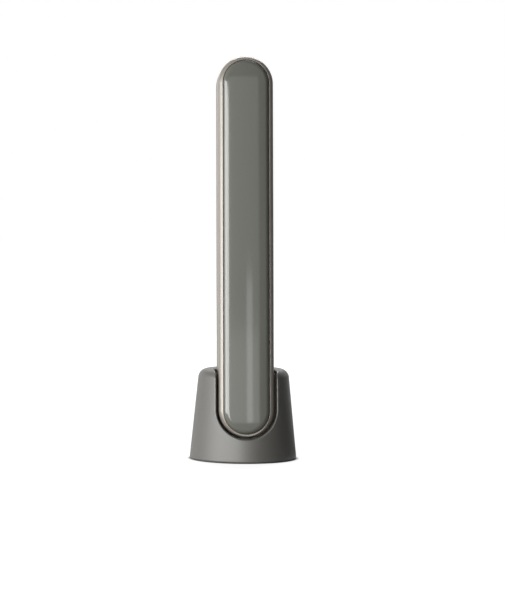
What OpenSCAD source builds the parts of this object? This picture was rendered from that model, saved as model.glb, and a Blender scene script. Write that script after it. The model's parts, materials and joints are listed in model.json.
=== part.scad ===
// Handheld light therapy wand standing in its charging cradle. Millimetres, +Z up.
// The origin is the centre of the cradle's underside, and the wand's cover faces -Y.
// Wand pieces are drawn upright in the wand's own frame, X across, Y from cover to back and
// Z along the wand from the tip of its foot, and in_wand() leans them into the cradle.

/* [Wand] */
// Length of the wand
wand_len = 207; // [202:1:214]
// Width of the wand
wand_w = 30; // [29.4:0.2:31.4]
// Thickness of the casing, without the crown of the cover
wand_t = 20; // [19.8:0.2:21]
// Wall of both halves of the casing
wand_wall = 1.6; // [1.4:0.1:1.8]
// Depth of the metal rim from its front edge
rim_depth = 11; // [10.4:0.2:11.6]
// Width of the rim beside the cover, seen from the front
rim_side_w = 2.4; // [2.3:0.1:2.8]
// Width of the rim at the ends of the cover
rim_end_w = 2.1; // [2:0.1:2.4]
// Rounding of the rim's front edge
rim_round = 2.1; // [1.6:0.1:2.2]
// Rounding of the back edge
back_round = 4; // [3.4:0.2:4.2]

/* [Cover] */
// Shadow gap between cover and rim
cover_gap = 0.4; // [0.3:0.05:0.5]
// How far the cover stands out of the rim
cover_proud = 2.2; // [1.8:0.1:2.6]
// Rounding of the cover's shoulder
cover_round = 2.8; // [2.2:0.1:3.2]
// Crown of the cover's face between its shoulders
cover_crown = 0.5; // [0.3:0.1:0.8]
// Wall of the cover
cover_wall = 1.5; // [1.2:0.1:1.7]

/* [Light field] */
// Half width of the metal ring round the window
ring_hw = 10.6; // [10.2:0.1:10.8]
// Width of the ring
ring_w = 1.1; // [1:0.05:1.2]
// Length of the field between the centres of its round ends
field_span = 74; // [72:1:78]
// Rows of diodes in each outer column
led_rows = 10; // [6:1:10]
// Distance of the outer columns from the middle
led_col = 5.2; // [5:0.1:5.4]

/* [Keys] */
// Diameter of the power button
power_d = 9; // [8:0.2:10]
// Width of the mode button
mode_w = 5.2; // [4.6:0.2:6]
// Length of the mode button
mode_len = 12; // [10:0.5:13]
// Travel of both buttons
key_travel = 0.5; // [0.3:0.05:0.6]
// Play between a button and its opening
key_gap = 0.1; // [0.05:0.01:0.15]

/* [Power and motor] */
// Width of the battery pack
battery_w = 19.2; // [17:0.2:19.8]
// Thickness of the battery pack
battery_t = 9.6; // [8:0.2:10]
// Diameter of the vibration motor
motor_d = 8; // [7:0.2:8.4]
// Length of the motor's can
motor_len = 13; // [11:0.5:13.5]
// Distance of each charging contact from the middle
contact_x = 4.6; // [4.4:0.1:5]

/* [Cradle] */
// Diameter of the cradle at the table
cradle_d = 58.4; // [57.6:0.2:62]
// Height of the cradle
cradle_h = 49; // [47.5:0.5:51]
// Draft of the cradle's side in degrees
cradle_draft = 5.7; // [5.2:0.1:6]
// Rounding of the cradle's top edge
cradle_round = 5; // [4:0.2:5.6]
// Wall of the cradle's shell
cradle_wall = 2.2; // [2:0.1:2.4]
// Gap between the wand and the edge of the slot
slot_gap = 1.4; // [1.1:0.1:1.6]
// Lean of the wand in degrees
lean = 6.8; // [6:0.2:7.6]
// Height of the wand's foot above the table
seat_z = 12.4; // [12:0.2:14]
// How far the wand's rim lies behind the edge of the slot
wand_recess = 1.4; // [1:0.1:2]
// Thickness of the steel ballast
ballast_t = 5.4; // [4:0.2:5.8]
// Length of the charging pins' stroke
pin_travel = 0.9; // [0.6:0.1:1]

/* [Hidden] */
$fn = 64;
EPS = 0.01;
touch = 0.05;      // assembly play between parts that are screwed or clipped together
slip = 0.1;        // play between trays, seats and inserts
fit_gap = 0.3;     // play between the wand and its socket

// Wand outline
half_w = wand_w / 2;
foot_c = half_w;
top_c = wand_len - half_w;
front_y = -wand_t / 2;
back_y = wand_t / 2;
split_y = front_y + rim_depth;
split_gap = 0.3;
inner_hw = half_w - wand_wall;
inner_back = back_y - wand_wall;

// Cover and its opening in the rim
lip_t = 1.6;
lip_y = front_y + lip_t;
open_hw = half_w - rim_side_w;
open_lo = rim_end_w + open_hw;
open_hi = wand_len - open_lo;
cover_hw = open_hw - cover_gap;
cover_top = front_y - cover_proud;
shoulder_x = cover_hw - cover_round;
face_r = (pow(shoulder_x, 2) + pow(cover_crown, 2)) / (2 * cover_crown);
face_cy = cover_top + face_r;
shoulder_y = face_cy - sqrt(pow(face_r - cover_round, 2) - pow(shoulder_x, 2));
shoulder_a = asin(shoulder_x / (face_r - cover_round));
flange_t = 1.2;
flange_y = lip_y + flange_t;
flange_hw = open_hw + 0.3;

// Tongue that locates the back half in the rim
tongue_out = inner_hw - slip;
tongue_t = 1;
tongue_in = tongue_out - tongue_t;
tongue_len = 1.2;

// Light field, stacked inwards from the back
field_hi = top_c;
field_lo = top_c - field_span;
recess_depth = 1.8;
recess_y = back_y - recess_depth;
ledge_t = 0.8;
ledge_y = recess_y - ledge_t;
window_hw = ring_hw - ring_w - slip;
ledge_hw = window_hw - 1.2;
gasket_t = 0.4;
window_y = recess_y + gasket_t;
window_proud = 0.1;
ring_proud = 0.3;
tray_top = ledge_y - slip;
board_t = 1;
board_top = back_y - 4.8;
board_y = board_top - board_t;
spreader_t = 0.8;
plate_top = board_y - spreader_t;
plate_t = 1.2;
plate_y = plate_top - plate_t;
led_hw = ring_hw - 0.6;
led_size = 2.8;
led_h = 1.4;
cup_r = 2.1;
cup_flare = 0.4;
led_pitch = field_span / (led_rows - 1);
led_screw_inset = 6;
led_head_r = 1.3;
led_head_t = 0.8;
led_bite = 0.6;
tail_hw = 4;
tail_z = field_lo - led_hw - 4.5;

// Chassis
chassis_hw = tongue_in - 0.2;
rail_t = 1.1;
mid_z = field_lo - 13.8;
mid_x = 8.2;
foot_x = 6.5;
foot_z = 12.2;
boss_r = 2.2;
pilot_r = 0.8;
screw_r = 0.75;
screw_head_r = 1.7;
screw_head_t = 1;
boss_spots = [[-foot_x, foot_z], [foot_x, foot_z], [-mid_x, mid_z], [mid_x, mid_z]];

// Main board and keys
main_hw = 9.6;
main_z0 = 17;
main_z1 = mid_z - boss_r - 1;
power_z = main_z1 - 11;
mode_z = power_z - 17;
lamp_z = mode_z - 13;
key_flange = 0.9;
key_flange_t = 0.6;
key_proud = 0.25;
dish_r = 26;
dish_depth = 0.3;
key_flange_y = inner_back - touch - key_flange_t;
stem_r = 1.6;
stem_len = 0.7;
plunger_r = 1.3;
plunger_y = key_flange_y - stem_len;
switch_w = 6;
switch_h = 1.2;
switch_top = board_top + switch_h;
plunger_end = switch_top - 0.3;
lamp_r = 1.2;
lamp_clear = 5;
chip_unit = 1;
chip_edge = 3.6;

// Battery and motor
motor_z1 = mid_z + 2;
motor_z0 = motor_z1 - motor_len;
clip_t = 0.8;
motor_y = plate_y - clip_t - touch - motor_d / 2;
shaft_r = 0.5;
shaft_play = 0.05;
shaft_in = 2;
weight_r = motor_d / 2 - 0.6;
weight_len = 5;
weight_gap = 1.2;
slot_z = motor_z0 - 3.5;
battery_z0 = 20;
battery_z1 = slot_z - 4.5;
pad_t = 0.5;
battery_y1 = plate_y - pad_t;
battery_round = 3;
wire_r = 0.5;
lead_x = 6;
lead_gap = 1.2;

// Contacts in the wand's foot
contact_y = back_y - 4.5;
contact_r = 1.5;
contact_z0 = 1.4;
contact_z1 = 6.5;
carrier_hw = contact_x + contact_r + 0.5;
carrier_y1 = contact_y + contact_r + 0.4;
inner_round = back_round - wand_wall;
carrier_dip = carrier_y1 - inner_back + inner_round;
carrier_room = inner_hw - inner_round + sqrt(pow(inner_round, 2) - pow(carrier_dip, 2));
carrier_z0 = foot_c - sqrt(pow(carrier_room, 2) - pow(carrier_hw, 2)) + slip;
carrier_z1 = 8;
magnet_r = 2;
magnet_t = 2;

// Cradle outline
shell_z0 = 0.3;
shell_foot_r = 0.8;
plate_z0 = 0.8;
plate_z1 = 2.8;
slot_hw = half_w + slot_gap;
liner_t = 1.4;
liner_hw = slot_hw + liner_t;
liner_step = -2;
liner_back = back_y + fit_gap + liner_t;
flush_z = 38;
corner_y = front_y + rim_round;
edge_y = -sqrt(pow(side_r(flush_z), 2) - pow(slot_hw, 2));
corner_z = (flush_z - seat_z + corner_y * sin(lean)) / cos(lean);
seat_y = edge_y + wand_recess - corner_y * cos(lean) - corner_z * sin(lean);

// Pins, in the wand's frame
barrel_r = 1.3;
barrel_bore = 1.05;
neck_bore = 0.8;
barrel_z0 = -6.4;
barrel_z1 = -0.2;
barrel_floor = 0.5;
bore_len = barrel_z1 - barrel_z0 + 2;
neck_t = 0.6;
pin_r = 0.75;
pin_body_r = 1;
pin_top = contact_z0 - slip;
pin_body_z1 = barrel_z1 - neck_t - touch;
pin_body_z0 = -3.6;
pin_hole_r = 0.6;
pin_roof = pin_body_z1 - 0.65;
spring_r = 0.5;
spring_wire = 0.15;
block_z1 = foot_c - liner_hw - slip;
block_t = 2.7;
block_hw = carrier_hw + 1.8;
block_y0 = contact_y - 3.2;
block_y1 = contact_y + 3.2;
leg_t = 1.5;

// Base of the cradle
base_r = side_r(plate_z1, cradle_wall) - 0.15;
pad_r = base_r - 0.6;
post_r = 3;
post_at = base_r - 3.2;
post_z1 = 9.8;
post_angles = [30, 150, 270];
base_screw_r = 1;
base_head_r = 2.1;
base_head_t = 1.15;
ballast_r = base_r - 2;
bay_hw = 10.5;
bay_y0 = seat_y - 1;
charger_hw = bay_hw - 0.5;
charger_z = 7;
charger_t = 1;
charger_y0 = seat_y + liner_back + 4.4;
charger_top = charger_z + charger_t;
stand_x = 7.6;
stand_r = 2.2;
stand_y = charger_y0 + 9;
usb_w = 8.94;
usb_h = 3.26;
usb_wall = 0.3;
usb_len = 7.35;
tongue_hw = 3.35;
tongue_hh = 0.35;
tongue_back = 1.6;
usb_z = charger_top + usb_h / 2;
usb_y1 = side_r(usb_z) - 1;
usb_y0 = usb_y1 - usb_len;
charger_y1 = usb_y1 - 2.9;
wire_drop = 0.3;
wire_turn = 1.2;
wire_y = seat_y + contact_y * cos(lean) + barrel_z0 * sin(lean);
wire_z = seat_z - contact_y * sin(lean) + barrel_z0 * cos(lean) - 0.12;
rise_y = charger_y0 + 3;

// Radius of the cradle's side at height z, moved inwards by depth
function side_r(z, depth = 0) = cradle_d / 2 - z * tan(cradle_draft) - depth / cos(cradle_draft);

// Height of row k of the outer diodes
function led_z(k) = field_lo + k * led_pitch;

// Puts a piece drawn in the wand's frame where the wand stands
module in_wand() translate([0, seat_y, seat_z]) rotate([-lean, 0, 0]) children();

// Long piece with round ends: a half section (x across, y through) swept round a stadium
module stadium(z_lo, z_hi) {
    translate([0, 0, z_lo]) linear_extrude(z_hi - z_lo) {
        children();
        mirror([1, 0]) children();
    }
    translate([0, 0, z_lo]) half_turn() children();
    translate([0, 0, z_hi]) mirror([0, 0, 1]) half_turn() children();
}

module half_turn() rotate([-90, 0, 0]) rotate_extrude(angle = 180) children();

// Half section of a plate with its outer corners rounded, r_lo at y0 and r_hi at y1
module half_plate(hw, y0, y1, r_lo = 0, r_hi = 0) {
    polygon([
        [0, y0], [hw - r_lo, y0], [hw - r_lo, y0 + r_lo], [hw, y0 + r_lo],
        [hw, y1 - r_hi], [hw - r_hi, y1 - r_hi], [hw - r_hi, y1], [0, y1]
    ]);
    if (r_lo > 0) translate([hw - r_lo, y0 + r_lo]) intersection() {
        circle(r_lo);
        translate([0, -r_lo]) square(r_lo);
    }
    if (r_hi > 0) translate([hw - r_hi, y1 - r_hi]) intersection() {
        circle(r_hi);
        square(r_hi);
    }
}

// Half section of a ring from hw_in to hw_out
module half_ring(hw_in, hw_out, y0, y1) translate([hw_in, y0]) square([hw_out - hw_in, y1 - y0]);

// Cylinder along the wand's Y from y0 to y1 at x, z
module y_rod(r, x, z, y0, y1, r_end = undef) translate([x, y0, z]) rotate([-90, 0, 0])
    cylinder(r1 = r, r2 = is_undef(r_end) ? r : r_end, h = y1 - y0);

// Places of the charging contacts and their pins
module at_contacts() for (s = [-1, 1]) translate([s * contact_x, contact_y, 0]) children();

// Places of the base screws, and of the two screws of the charger board
module at_posts() for (a = post_angles) rotate([0, 0, a]) translate([post_at, 0, 0]) children();

module at_stands() for (s = [-1, 1]) translate([s * stand_x, stand_y, 0]) children();

// Slab that runs from the wand's foot out past its top, from far in front to y1 at the back
module wand_space(hw, y0, y1, r_back) stadium(foot_c, wand_len) half_plate(hw, y0, y1, 0, r_back);

// Box from its lowest to its highest corner
module block(lo, hi) translate(lo) cube(hi - lo);

// Half section of the cover under its outer face, moved inwards by depth, down to y_low
module cover_section(depth, y_low) {
    r = cover_round - depth;
    reach = r + cover_round;
    translate([shoulder_x, shoulder_y]) intersection() {
        circle(r);
        translate([-r, -r]) square([2 * r, r]);
    }
    translate([0, shoulder_y]) square([shoulder_x + r, y_low - shoulder_y]);
    intersection() {
        translate([0, face_cy]) circle(face_r - depth, $fn = 512);
        polygon([
            [0, shoulder_y], [shoulder_x, shoulder_y],
            [shoulder_x + reach * sin(shoulder_a), shoulder_y - reach * cos(shoulder_a)],
            [0, shoulder_y - reach * cos(shoulder_a)]
        ]);
    }
}

module front_cover() color("#7a7b74") in_wand() difference() {
    union() {
        stadium(open_lo, open_hi) cover_section(0, flange_y);
        stadium(open_lo, open_hi) half_plate(flange_hw, lip_y, flange_y);
    }
    stadium(open_lo, open_hi) cover_section(cover_wall, flange_y + 1);
}

module rim_frame() color("#c9bfb0") in_wand() difference() {
    stadium(foot_c, top_c) half_plate(half_w, front_y, split_y, rim_round);
    stadium(foot_c, top_c) half_plate(inner_hw, lip_y, split_y + 1);
    stadium(open_lo, open_hi) half_plate(open_hw, front_y - 1, lip_y + EPS);
}

// Bosses that take the shell screws, from the back wall down to the chassis
module shell_bosses() for (p = boss_spots) difference() {
    y_rod(boss_r, p[0], p[1], plate_top, inner_back + 0.5);
    y_rod(pilot_r, p[0], p[1], plate_top - 1, inner_back - 1);
}

module rear_shell() color("#83837c") in_wand() difference() {
    union() {
        difference() {
            stadium(foot_c, top_c) half_plate(half_w, split_y + split_gap, back_y, 0, back_round);
            stadium(foot_c, top_c) half_plate(inner_hw, 0, inner_back, 0, inner_round);
        }
        stadium(foot_c, top_c) half_ring(tongue_in, tongue_out, split_y - tongue_len, split_y + 1.6);
        stadium(foot_c, top_c) half_ring(tongue_in, inner_hw + EPS, split_y + split_gap, split_y + 1.6);
        stadium(field_lo, field_hi) half_plate(ring_hw + 1, ledge_y, inner_back + 0.5);
        shell_bosses();
    }
    stadium(field_lo, field_hi) half_plate(ring_hw + slip, recess_y, back_y + 1);
    stadium(field_lo, field_hi) half_plate(ledge_hw, ledge_y - 1, back_y + 1);
    y_rod(power_d / 2 + key_gap, 0, power_z, inner_back - 1, back_y + 1);
    stadium_key(mode_w / 2 + key_gap, mode_len + 2 * key_gap, inner_back - 1, back_y + 1);
    y_rod(lamp_r + touch, 0, lamp_z, inner_back - 1, back_y + 1);
    at_contacts() translate([0, 0, -1]) cylinder(r = contact_r + touch, h = carrier_z0 + 2);
}

// Stadium plate of the mode button, half width hw and length len, from y0 to y1
module stadium_key(hw, len, y0, y1)
    stadium(mode_z - len / 2 + hw, mode_z + len / 2 - hw) half_plate(hw, y0, y1);

module treatment_ring() color("#d6cdbf") in_wand()
    stadium(field_lo, field_hi) half_ring(ring_hw - ring_w, ring_hw, recess_y, back_y + ring_proud);

module led_window() color("#e9e4e0") in_wand()
    stadium(field_lo, field_hi) half_plate(window_hw, window_y, back_y + window_proud);

module window_gasket() color("#3b3b3d") in_wand()
    stadium(field_lo, field_hi) half_ring(ledge_hw, window_hw - slip, recess_y, window_y);

module reflector_tray() color("#f2f2ee") in_wand() difference() {
    stadium(field_lo, field_hi) half_plate(led_hw - 0.8, board_top, tray_top);
    led_places() y_rod(cup_r, 0, 0, board_top - 1, tray_top + EPS, cup_r + cup_flare);
    led_screw_holes(led_head_r + 2 * slip, board_top - 1, tray_top + 1);
}

// All places of diodes: two outer columns, and one between them at half rows
module led_places() {
    red_places() children();
    infrared_places() children();
}

module red_places() for (k = [0 : led_rows - 1], s = [-1, 1])
    translate([s * led_col, 0, led_z(k)]) children();

module infrared_places() for (k = [0 : led_rows - 2]) translate([0, 0, led_z(k + 0.5)]) children();

// One diode, its body on the board
module diode() translate([-led_size / 2, board_top, -led_size / 2]) cube([led_size, led_h, led_size]);

module red_leds() color("#c9302c") in_wand() red_places() diode();

module infrared_leds() color("#4a3550") in_wand() infrared_places() diode();

// Rods at the two screws that hold the diode board, radius r from y0 to y1
module led_screw_holes(r, y0, y1) for (z = [field_lo - led_screw_inset, field_hi + led_screw_inset])
    y_rod(r, 0, z, y0, y1);

module led_board() color("#1f4d36") in_wand() difference() {
    union() {
        stadium(field_lo, field_hi) half_plate(led_hw, board_y, board_top);
        block([-tail_hw, board_y, tail_z], [tail_hw, board_top, field_lo]);
    }
    led_screw_holes(screw_r + touch, board_y - 1, board_top + 1);
}

module heat_spreader() color("#b8babd") in_wand() difference() {
    stadium(field_lo, field_hi) half_plate(led_hw, plate_top, board_y);
    led_screw_holes(screw_r + touch, plate_top - 1, board_y + 1);
}

module led_screws() color("#9a9ca0") in_wand() {
    led_screw_holes(screw_r, plate_y - led_bite, board_top);
    led_screw_holes(led_head_r, board_top, board_top + led_head_t);
}

module chassis() color("#55565a") in_wand() difference() {
    union() {
        stadium(foot_c, top_c) half_plate(chassis_hw, plate_y, plate_top);
        stadium(foot_c, top_c) half_ring(chassis_hw - rail_t, chassis_hw, flange_y, plate_top);
        for (x = [-1, 1], z = [main_z0 + 4, main_z1 - 3])
            y_rod(1.2, x * (main_hw - 2), z, plate_y + EPS, board_y);
    }
    for (p = boss_spots) y_rod(screw_r + 0.15, p[0], p[1], plate_y - 1, plate_top + 1);
    led_screw_holes(screw_r + touch, plate_y - 1, plate_top + 1);
    block([-lead_x - 2.2, plate_y - 1, slot_z - 1.2], [2.2, plate_top + 1, slot_z + 1.2]);
}

module shell_screws() color("#9a9ca0") in_wand() for (p = boss_spots) {
    y_rod(screw_r, p[0], p[1], plate_y - EPS, inner_back - 1.4);
    y_rod(screw_head_r, p[0], p[1], plate_y - screw_head_t, plate_y);
}

// Battery pack with rounded long edges
module battery_pack() color("#8aa0b5") in_wand() translate([0, 0, battery_z0])
    linear_extrude(battery_z1 - battery_z0) for (m = [0, 1]) mirror([m, 0])
        half_plate(battery_w / 2, battery_y1 - battery_t, battery_y1, battery_round, battery_round);

module battery_pad() color("#2f2f31") in_wand()
    block([-battery_w / 2 + battery_round, battery_y1, battery_z0 + 3],
          [battery_w / 2 - battery_round, plate_y, battery_z1 - 3]);

// Wire that leaves a face along +Z, turns with the given radius and runs along +Y
module elbow_wire(up, turn, run) {
    cylinder(r = wire_r, h = up, $fn = 24);
    translate([0, turn, up]) rotate([90, 0, -90]) rotate_extrude(angle = 90, $fn = 24)
        translate([turn, 0]) circle(wire_r, $fn = 24);
    translate([0, turn, up + turn]) rotate([-90, 0, 0]) cylinder(r = wire_r, h = run, $fn = 24);
}

module battery_leads() color("#b03028") in_wand() for (s = [-1, 1])
    translate([-lead_x + s * lead_gap, plate_y - 4.2, battery_z1])
        elbow_wire(slot_z - battery_z1 - 3, 3, board_y - plate_y + 1.2);

module motor_leads() color("#2b4f9c") in_wand() for (s = [-1, 1])
    translate([s * lead_gap, motor_y, motor_z0]) mirror([0, 0, 1])
        elbow_wire(motor_z0 - slot_z - 2.4, 2.4, board_y - motor_y - 2.4);

module main_board() color("#1f4d36") in_wand()
    block([-main_hw, board_y, main_z0], [main_hw, board_top, main_z1]);

// Chips and sockets on the main board: x, z, width, length and height, the last three in
// steps of chip_unit
module board_chips() color("#26262a") in_wand() {
    side_x = main_hw - chip_edge;
    run = lamp_z - main_z0;
    chips = [
        [0, main_z0 + 0.67 * run, 7, 7, 1], [0, main_z0 + 0.4 * run, 5, 4, 1],
        [-side_x, main_z0 + 0.3 * run, 3, 6, 2.2], [side_x, main_z0 + 0.36 * run, 2.4, 5, 1.2],
        [-side_x, lamp_z - lamp_clear, 3, 3, 0.8], [side_x, lamp_z - lamp_clear, 4, 4, 2],
        [0, lamp_z, 1.6, 0.8, 0.6], [side_x, power_z, 2.6, 4, 1], [-side_x, power_z, 2.6, 3, 1]
    ];
    for (c = chips) on_board([c[0], board_top, c[1]], [c[2], c[4], c[3]] * chip_unit);
}

// Box of the given size that stands on a board at the middle of its foot
module on_board(at, size) translate(at - [size[0] / 2, 0, size[2] / 2]) cube(size);

module tact_switches() color("#3a3a3c") in_wand() for (z = [power_z, mode_z]) difference() {
    block([-switch_w / 2, board_top, z - switch_w / 2], [switch_w / 2, switch_top, z + switch_w / 2]);
    y_rod(plunger_r + key_gap, 0, z, plunger_end - key_travel - touch, switch_top + 1);
}

module led_flex() color("#c47a2c") in_wand()
    block([-2.8, board_top, main_z1 - 4], [2.8, board_top + 0.3, tail_z + 3.4]);

// Round button with a shallow dish in its face, its flange behind the shell and its stem
module power_button() color("#8d8d86") in_wand() difference() {
    union() {
        y_rod(power_d / 2, 0, power_z, key_flange_y, back_y + key_proud);
        y_rod(power_d / 2 + key_flange, 0, power_z, key_flange_y, key_flange_y + key_flange_t);
        y_rod(stem_r, 0, power_z, plunger_y, key_flange_y + EPS);
    }
    translate([0, back_y + key_proud + dish_r - dish_depth, power_z]) rotate([-90, 0, 0])
        sphere(dish_r, $fn = 128);
}

module power_plunger() color("#d8d4cc") in_wand()
    y_rod(plunger_r, 0, power_z, plunger_end, plunger_y);

module mode_button() color("#8d8d86") in_wand() {
    stadium_key(mode_w / 2, mode_len, key_flange_y, back_y + key_proud);
    stadium_key(mode_w / 2 + key_flange, mode_len + 2 * key_flange,
                key_flange_y, key_flange_y + key_flange_t);
    y_rod(stem_r, 0, mode_z, plunger_y, key_flange_y + EPS);
}

module mode_plunger() color("#d8d4cc") in_wand()
    y_rod(plunger_r, 0, mode_z, plunger_end, plunger_y);

module indicator_lens() color("#e8f0ea") in_wand() {
    y_rod(lamp_r, 0, lamp_z, board_top + 0.7, back_y);
    y_rod(lamp_r + 0.6, 0, lamp_z, inner_back - 0.8, inner_back);
}

module vibration_motor() color("#c0c2c6") in_wand() translate([0, motor_y, motor_z0]) difference() {
    cylinder(r = motor_d / 2, h = motor_len);
    translate([0, 0, motor_len - shaft_in - 0.1]) cylinder(r = shaft_r + shaft_play, h = shaft_in + 1);
}

// Saddle that holds the motor on the chassis
module motor_clip() color("#4b4c50") in_wand() difference() {
    r_in = motor_d / 2 + touch;
    translate([0, motor_y, motor_z0 + 1.5]) linear_extrude(motor_len - 3) difference() {
        union() {
            circle(r_in + clip_t);
            translate([-r_in - clip_t, 0]) square([2 * (r_in + clip_t), plate_y - motor_y]);
        }
        circle(r_in);
        translate([-r_in - 2, -r_in - 2]) square([2 * r_in + 4, r_in + 1]);
    }
}

module motor_shaft() color("#d9dade") in_wand() translate([0, motor_y, motor_z1 - shaft_in])
    cylinder(r = shaft_r, h = shaft_in + weight_gap + weight_len);

// Eccentric half disc on the motor's shaft
module motor_weight() color("#8c7a5a") in_wand() translate([0, motor_y, motor_z1 + weight_gap])
    rotate_extrude(angle = 180) translate([shaft_r, 0]) square([weight_r - shaft_r, weight_len]);

module contact_pads() color("#d4af37") in_wand() at_contacts()
    translate([0, 0, contact_z0]) cylinder(r = contact_r, h = contact_z1 - contact_z0);

module contact_carrier() color("#6a6b6e") in_wand() difference() {
    block([-carrier_hw, plate_top, carrier_z0], [carrier_hw, carrier_y1, carrier_z1]);
    at_contacts() translate([0, 0, carrier_z0 - 1])
        cylinder(r = contact_r + touch, h = contact_z1 - carrier_z0 + 1);
    translate([0, contact_y, carrier_z0 - 1]) cylinder(r = magnet_r + touch, h = magnet_t + 1.5);
}

module wand_magnet() color("#a9abb0") in_wand()
    translate([0, contact_y, carrier_z0 + 0.5]) cylinder(r = magnet_r, h = magnet_t);

// Half section of the cradle's cone, moved inwards by depth, with its lower and upper corner
// rounded by arcs that touch the side
module cone_section(depth, z0, z1, r_lo, r_hi) {
    n = [cos(cradle_draft), sin(cradle_draft)];
    lo = [side_r(z0 + r_lo, depth + r_lo), z0 + r_lo];
    hi = [side_r(z1 - r_hi, depth + r_hi), z1 - r_hi];
    polygon([[0, z0], [lo[0], z0], lo, lo + r_lo * n, hi + r_hi * n, hi, [hi[0], z1], [0, z1]]);
    translate(lo) circle(r_lo);
    translate(hi) circle(r_hi);
}

// Inside of the cradle's shell, from z0 up, moved inwards by play
module cradle_room(z0, play = 0) rotate_extrude($fn = 128)
    cone_section(cradle_wall + play, z0, cradle_h - cradle_wall - play,
                 0.5, cradle_round - cradle_wall - play);

// Posts inside the shell that take the base screws
module shell_posts() intersection() {
    at_posts() translate([0, 0, plate_z1]) cylinder(r = post_r, h = post_z1 - plate_z1);
    rotate_extrude($fn = 128) cone_section(cradle_wall / 2, shell_z0, cradle_h - 3, 0.5, 2);
}

module cradle_shell() color("#7d7e78") difference() {
    union() {
        difference() {
            rotate_extrude($fn = 128) cone_section(0, shell_z0, cradle_h, shell_foot_r, cradle_round);
            cradle_room(shell_z0 - 3);
        }
        shell_posts();
    }
    in_wand() wand_space(slot_hw, -4 * half_w, back_y + slot_gap, back_round + slot_gap);
    at_posts() cylinder(r = base_screw_r + touch, h = post_z1 - 1);
    translate([0, 0, usb_z]) usb_pill(usb_w / 2 + 0.3, usb_h / 2 + 0.3, usb_y0, cradle_d);
}

// Flat pill across X with half width hw and half height hh, from y0 to y1
module usb_pill(hw, hh, y0, y1) translate([0, y1, 0]) rotate([90, 0, 0]) linear_extrude(y1 - y0) {
    square([2 * (hw - hh), 2 * hh], center = true);
    for (s = [-1, 1]) translate([s * (hw - hh), 0]) circle(hh, $fn = 48);
}

// Pocket that guides the wand: close round its back half, wide where the slot shows it
module wand_socket() color("#3d3e3c") difference() {
    intersection() {
        in_wand() difference() {
            wand_space(liner_hw, -4 * half_w, liner_back, back_round + liner_t);
            wand_space(half_w + fit_gap, liner_step, back_y + fit_gap, back_round + fit_gap);
            wand_space(slot_hw, -4 * half_w - 1, liner_step + EPS, 0);
        }
        cradle_room(post_z1 - 4, slip);
    }
    in_wand() at_contacts() translate([0, 0, barrel_z0]) cylinder(r = barrel_r + touch, h = bore_len);
}

module base_plate() color("#4c4d4b") difference() {
    union() {
        translate([0, 0, plate_z0]) cylinder(r = base_r, h = plate_z1 - plate_z0, $fn = 128);
        at_stands() translate([0, 0, plate_z1 - EPS])
            cylinder(r = stand_r, h = charger_z - plate_z1 + EPS);
    }
    at_posts() {
        cylinder(r = base_screw_r + 0.2, h = plate_z1 + 1);
        cylinder(r = base_head_r + 0.2, h = plate_z0 + base_head_t + touch);
    }
    at_stands() translate([0, 0, plate_z1 - 0.8]) cylinder(r = pilot_r, h = charger_z);
}

module foot_pad() color("#2e2f2f") cylinder(r = pad_r, h = plate_z0, $fn = 128);

module base_screws() color("#9a9ca0") at_posts() {
    translate([0, 0, plate_z0 + touch]) cylinder(r = base_head_r, h = base_head_t);
    translate([0, 0, plate_z0 + 1]) cylinder(r = base_screw_r, h = post_z1 - 3);
}

// Steel plate round the pin block and the charger board
module ballast_weight() color("#8b8d90") difference() {
    translate([0, 0, plate_z1]) cylinder(r = ballast_r, h = ballast_t, $fn = 128);
    block([-bay_hw, bay_y0, 0], [bay_hw, cradle_d, cradle_h]);
    at_posts() cylinder(r = post_r + 0.3, h = cradle_h);
}

module charger_board() color("#1f4d36") difference() {
    union() {
        block([-charger_hw, charger_y0, charger_z], [charger_hw, charger_y1 - 2.6, charger_top]);
        block([-charger_hw + 2.5, charger_y0, charger_z], [charger_hw - 2.5, charger_y1, charger_top]);
    }
    at_stands() translate([0, 0, charger_z - 1]) cylinder(r = screw_r + touch, h = 3);
}

// Chips on the charger board: x, y, width, length and height, the last three in steps of
// chip_unit
module charger_chips() color("#26262a") {
    run = usb_y0 - charger_y0;
    side_x = charger_hw - chip_edge;
    chips = [
        [0, 0.36 * run, 5, 5, 1], [side_x, 0.22 * run, 3, 3, 1.6],
        [-side_x, 0.22 * run, 2.4, 3, 1], [0, 0.8 * run, 4, 2, 0.9]
    ];
    for (c = chips) translate([c[0], charger_y0 + c[1], charger_top])
        linear_extrude(c[4] * chip_unit) square([c[2], c[3]] * chip_unit, center = true);
}

module board_screws() color("#9a9ca0") at_stands() {
    translate([0, 0, charger_z - 3]) cylinder(r = screw_r, h = 3 + charger_t + EPS);
    translate([0, 0, charger_top]) cylinder(r = screw_head_r, h = 0.9);
}

module usb_shell() color("#c7c9cc") translate([0, 0, usb_z]) difference() {
    usb_pill(usb_w / 2, usb_h / 2, usb_y0, usb_y1);
    usb_pill(usb_w / 2 - usb_wall, usb_h / 2 - usb_wall, usb_y0 + usb_wall, usb_y1 + 1);
}

module usb_tongue() color("#2a2a2c")
    block([-tongue_hw, usb_y0 + usb_wall, usb_z - tongue_hh],
          [tongue_hw, usb_y1 - tongue_back, usb_z + tongue_hh]);

// Bridge under the pocket that carries the charging pins on two legs
module pin_block() color("#5d5e60") difference() {
    in_wand() difference() {
        block([-block_hw, block_y0, block_z1 - 4 * block_t], [block_hw, block_y1, block_z1]);
        block([-block_hw + leg_t, block_y0 - 1, block_z1 - 5 * block_t],
              [block_hw - leg_t, block_y1 + 1, block_z1 - block_t]);
        at_contacts() translate([0, 0, barrel_z0 - 1]) cylinder(r = barrel_r + touch, h = bore_len);
        translate([0, contact_y, block_z1 - magnet_t]) cylinder(r = magnet_r + touch, h = magnet_t + 1);
    }
    block([-cradle_d, -cradle_d, plate_z1 - 4 * cradle_h], [cradle_d, cradle_d, plate_z1]);
}

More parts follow.
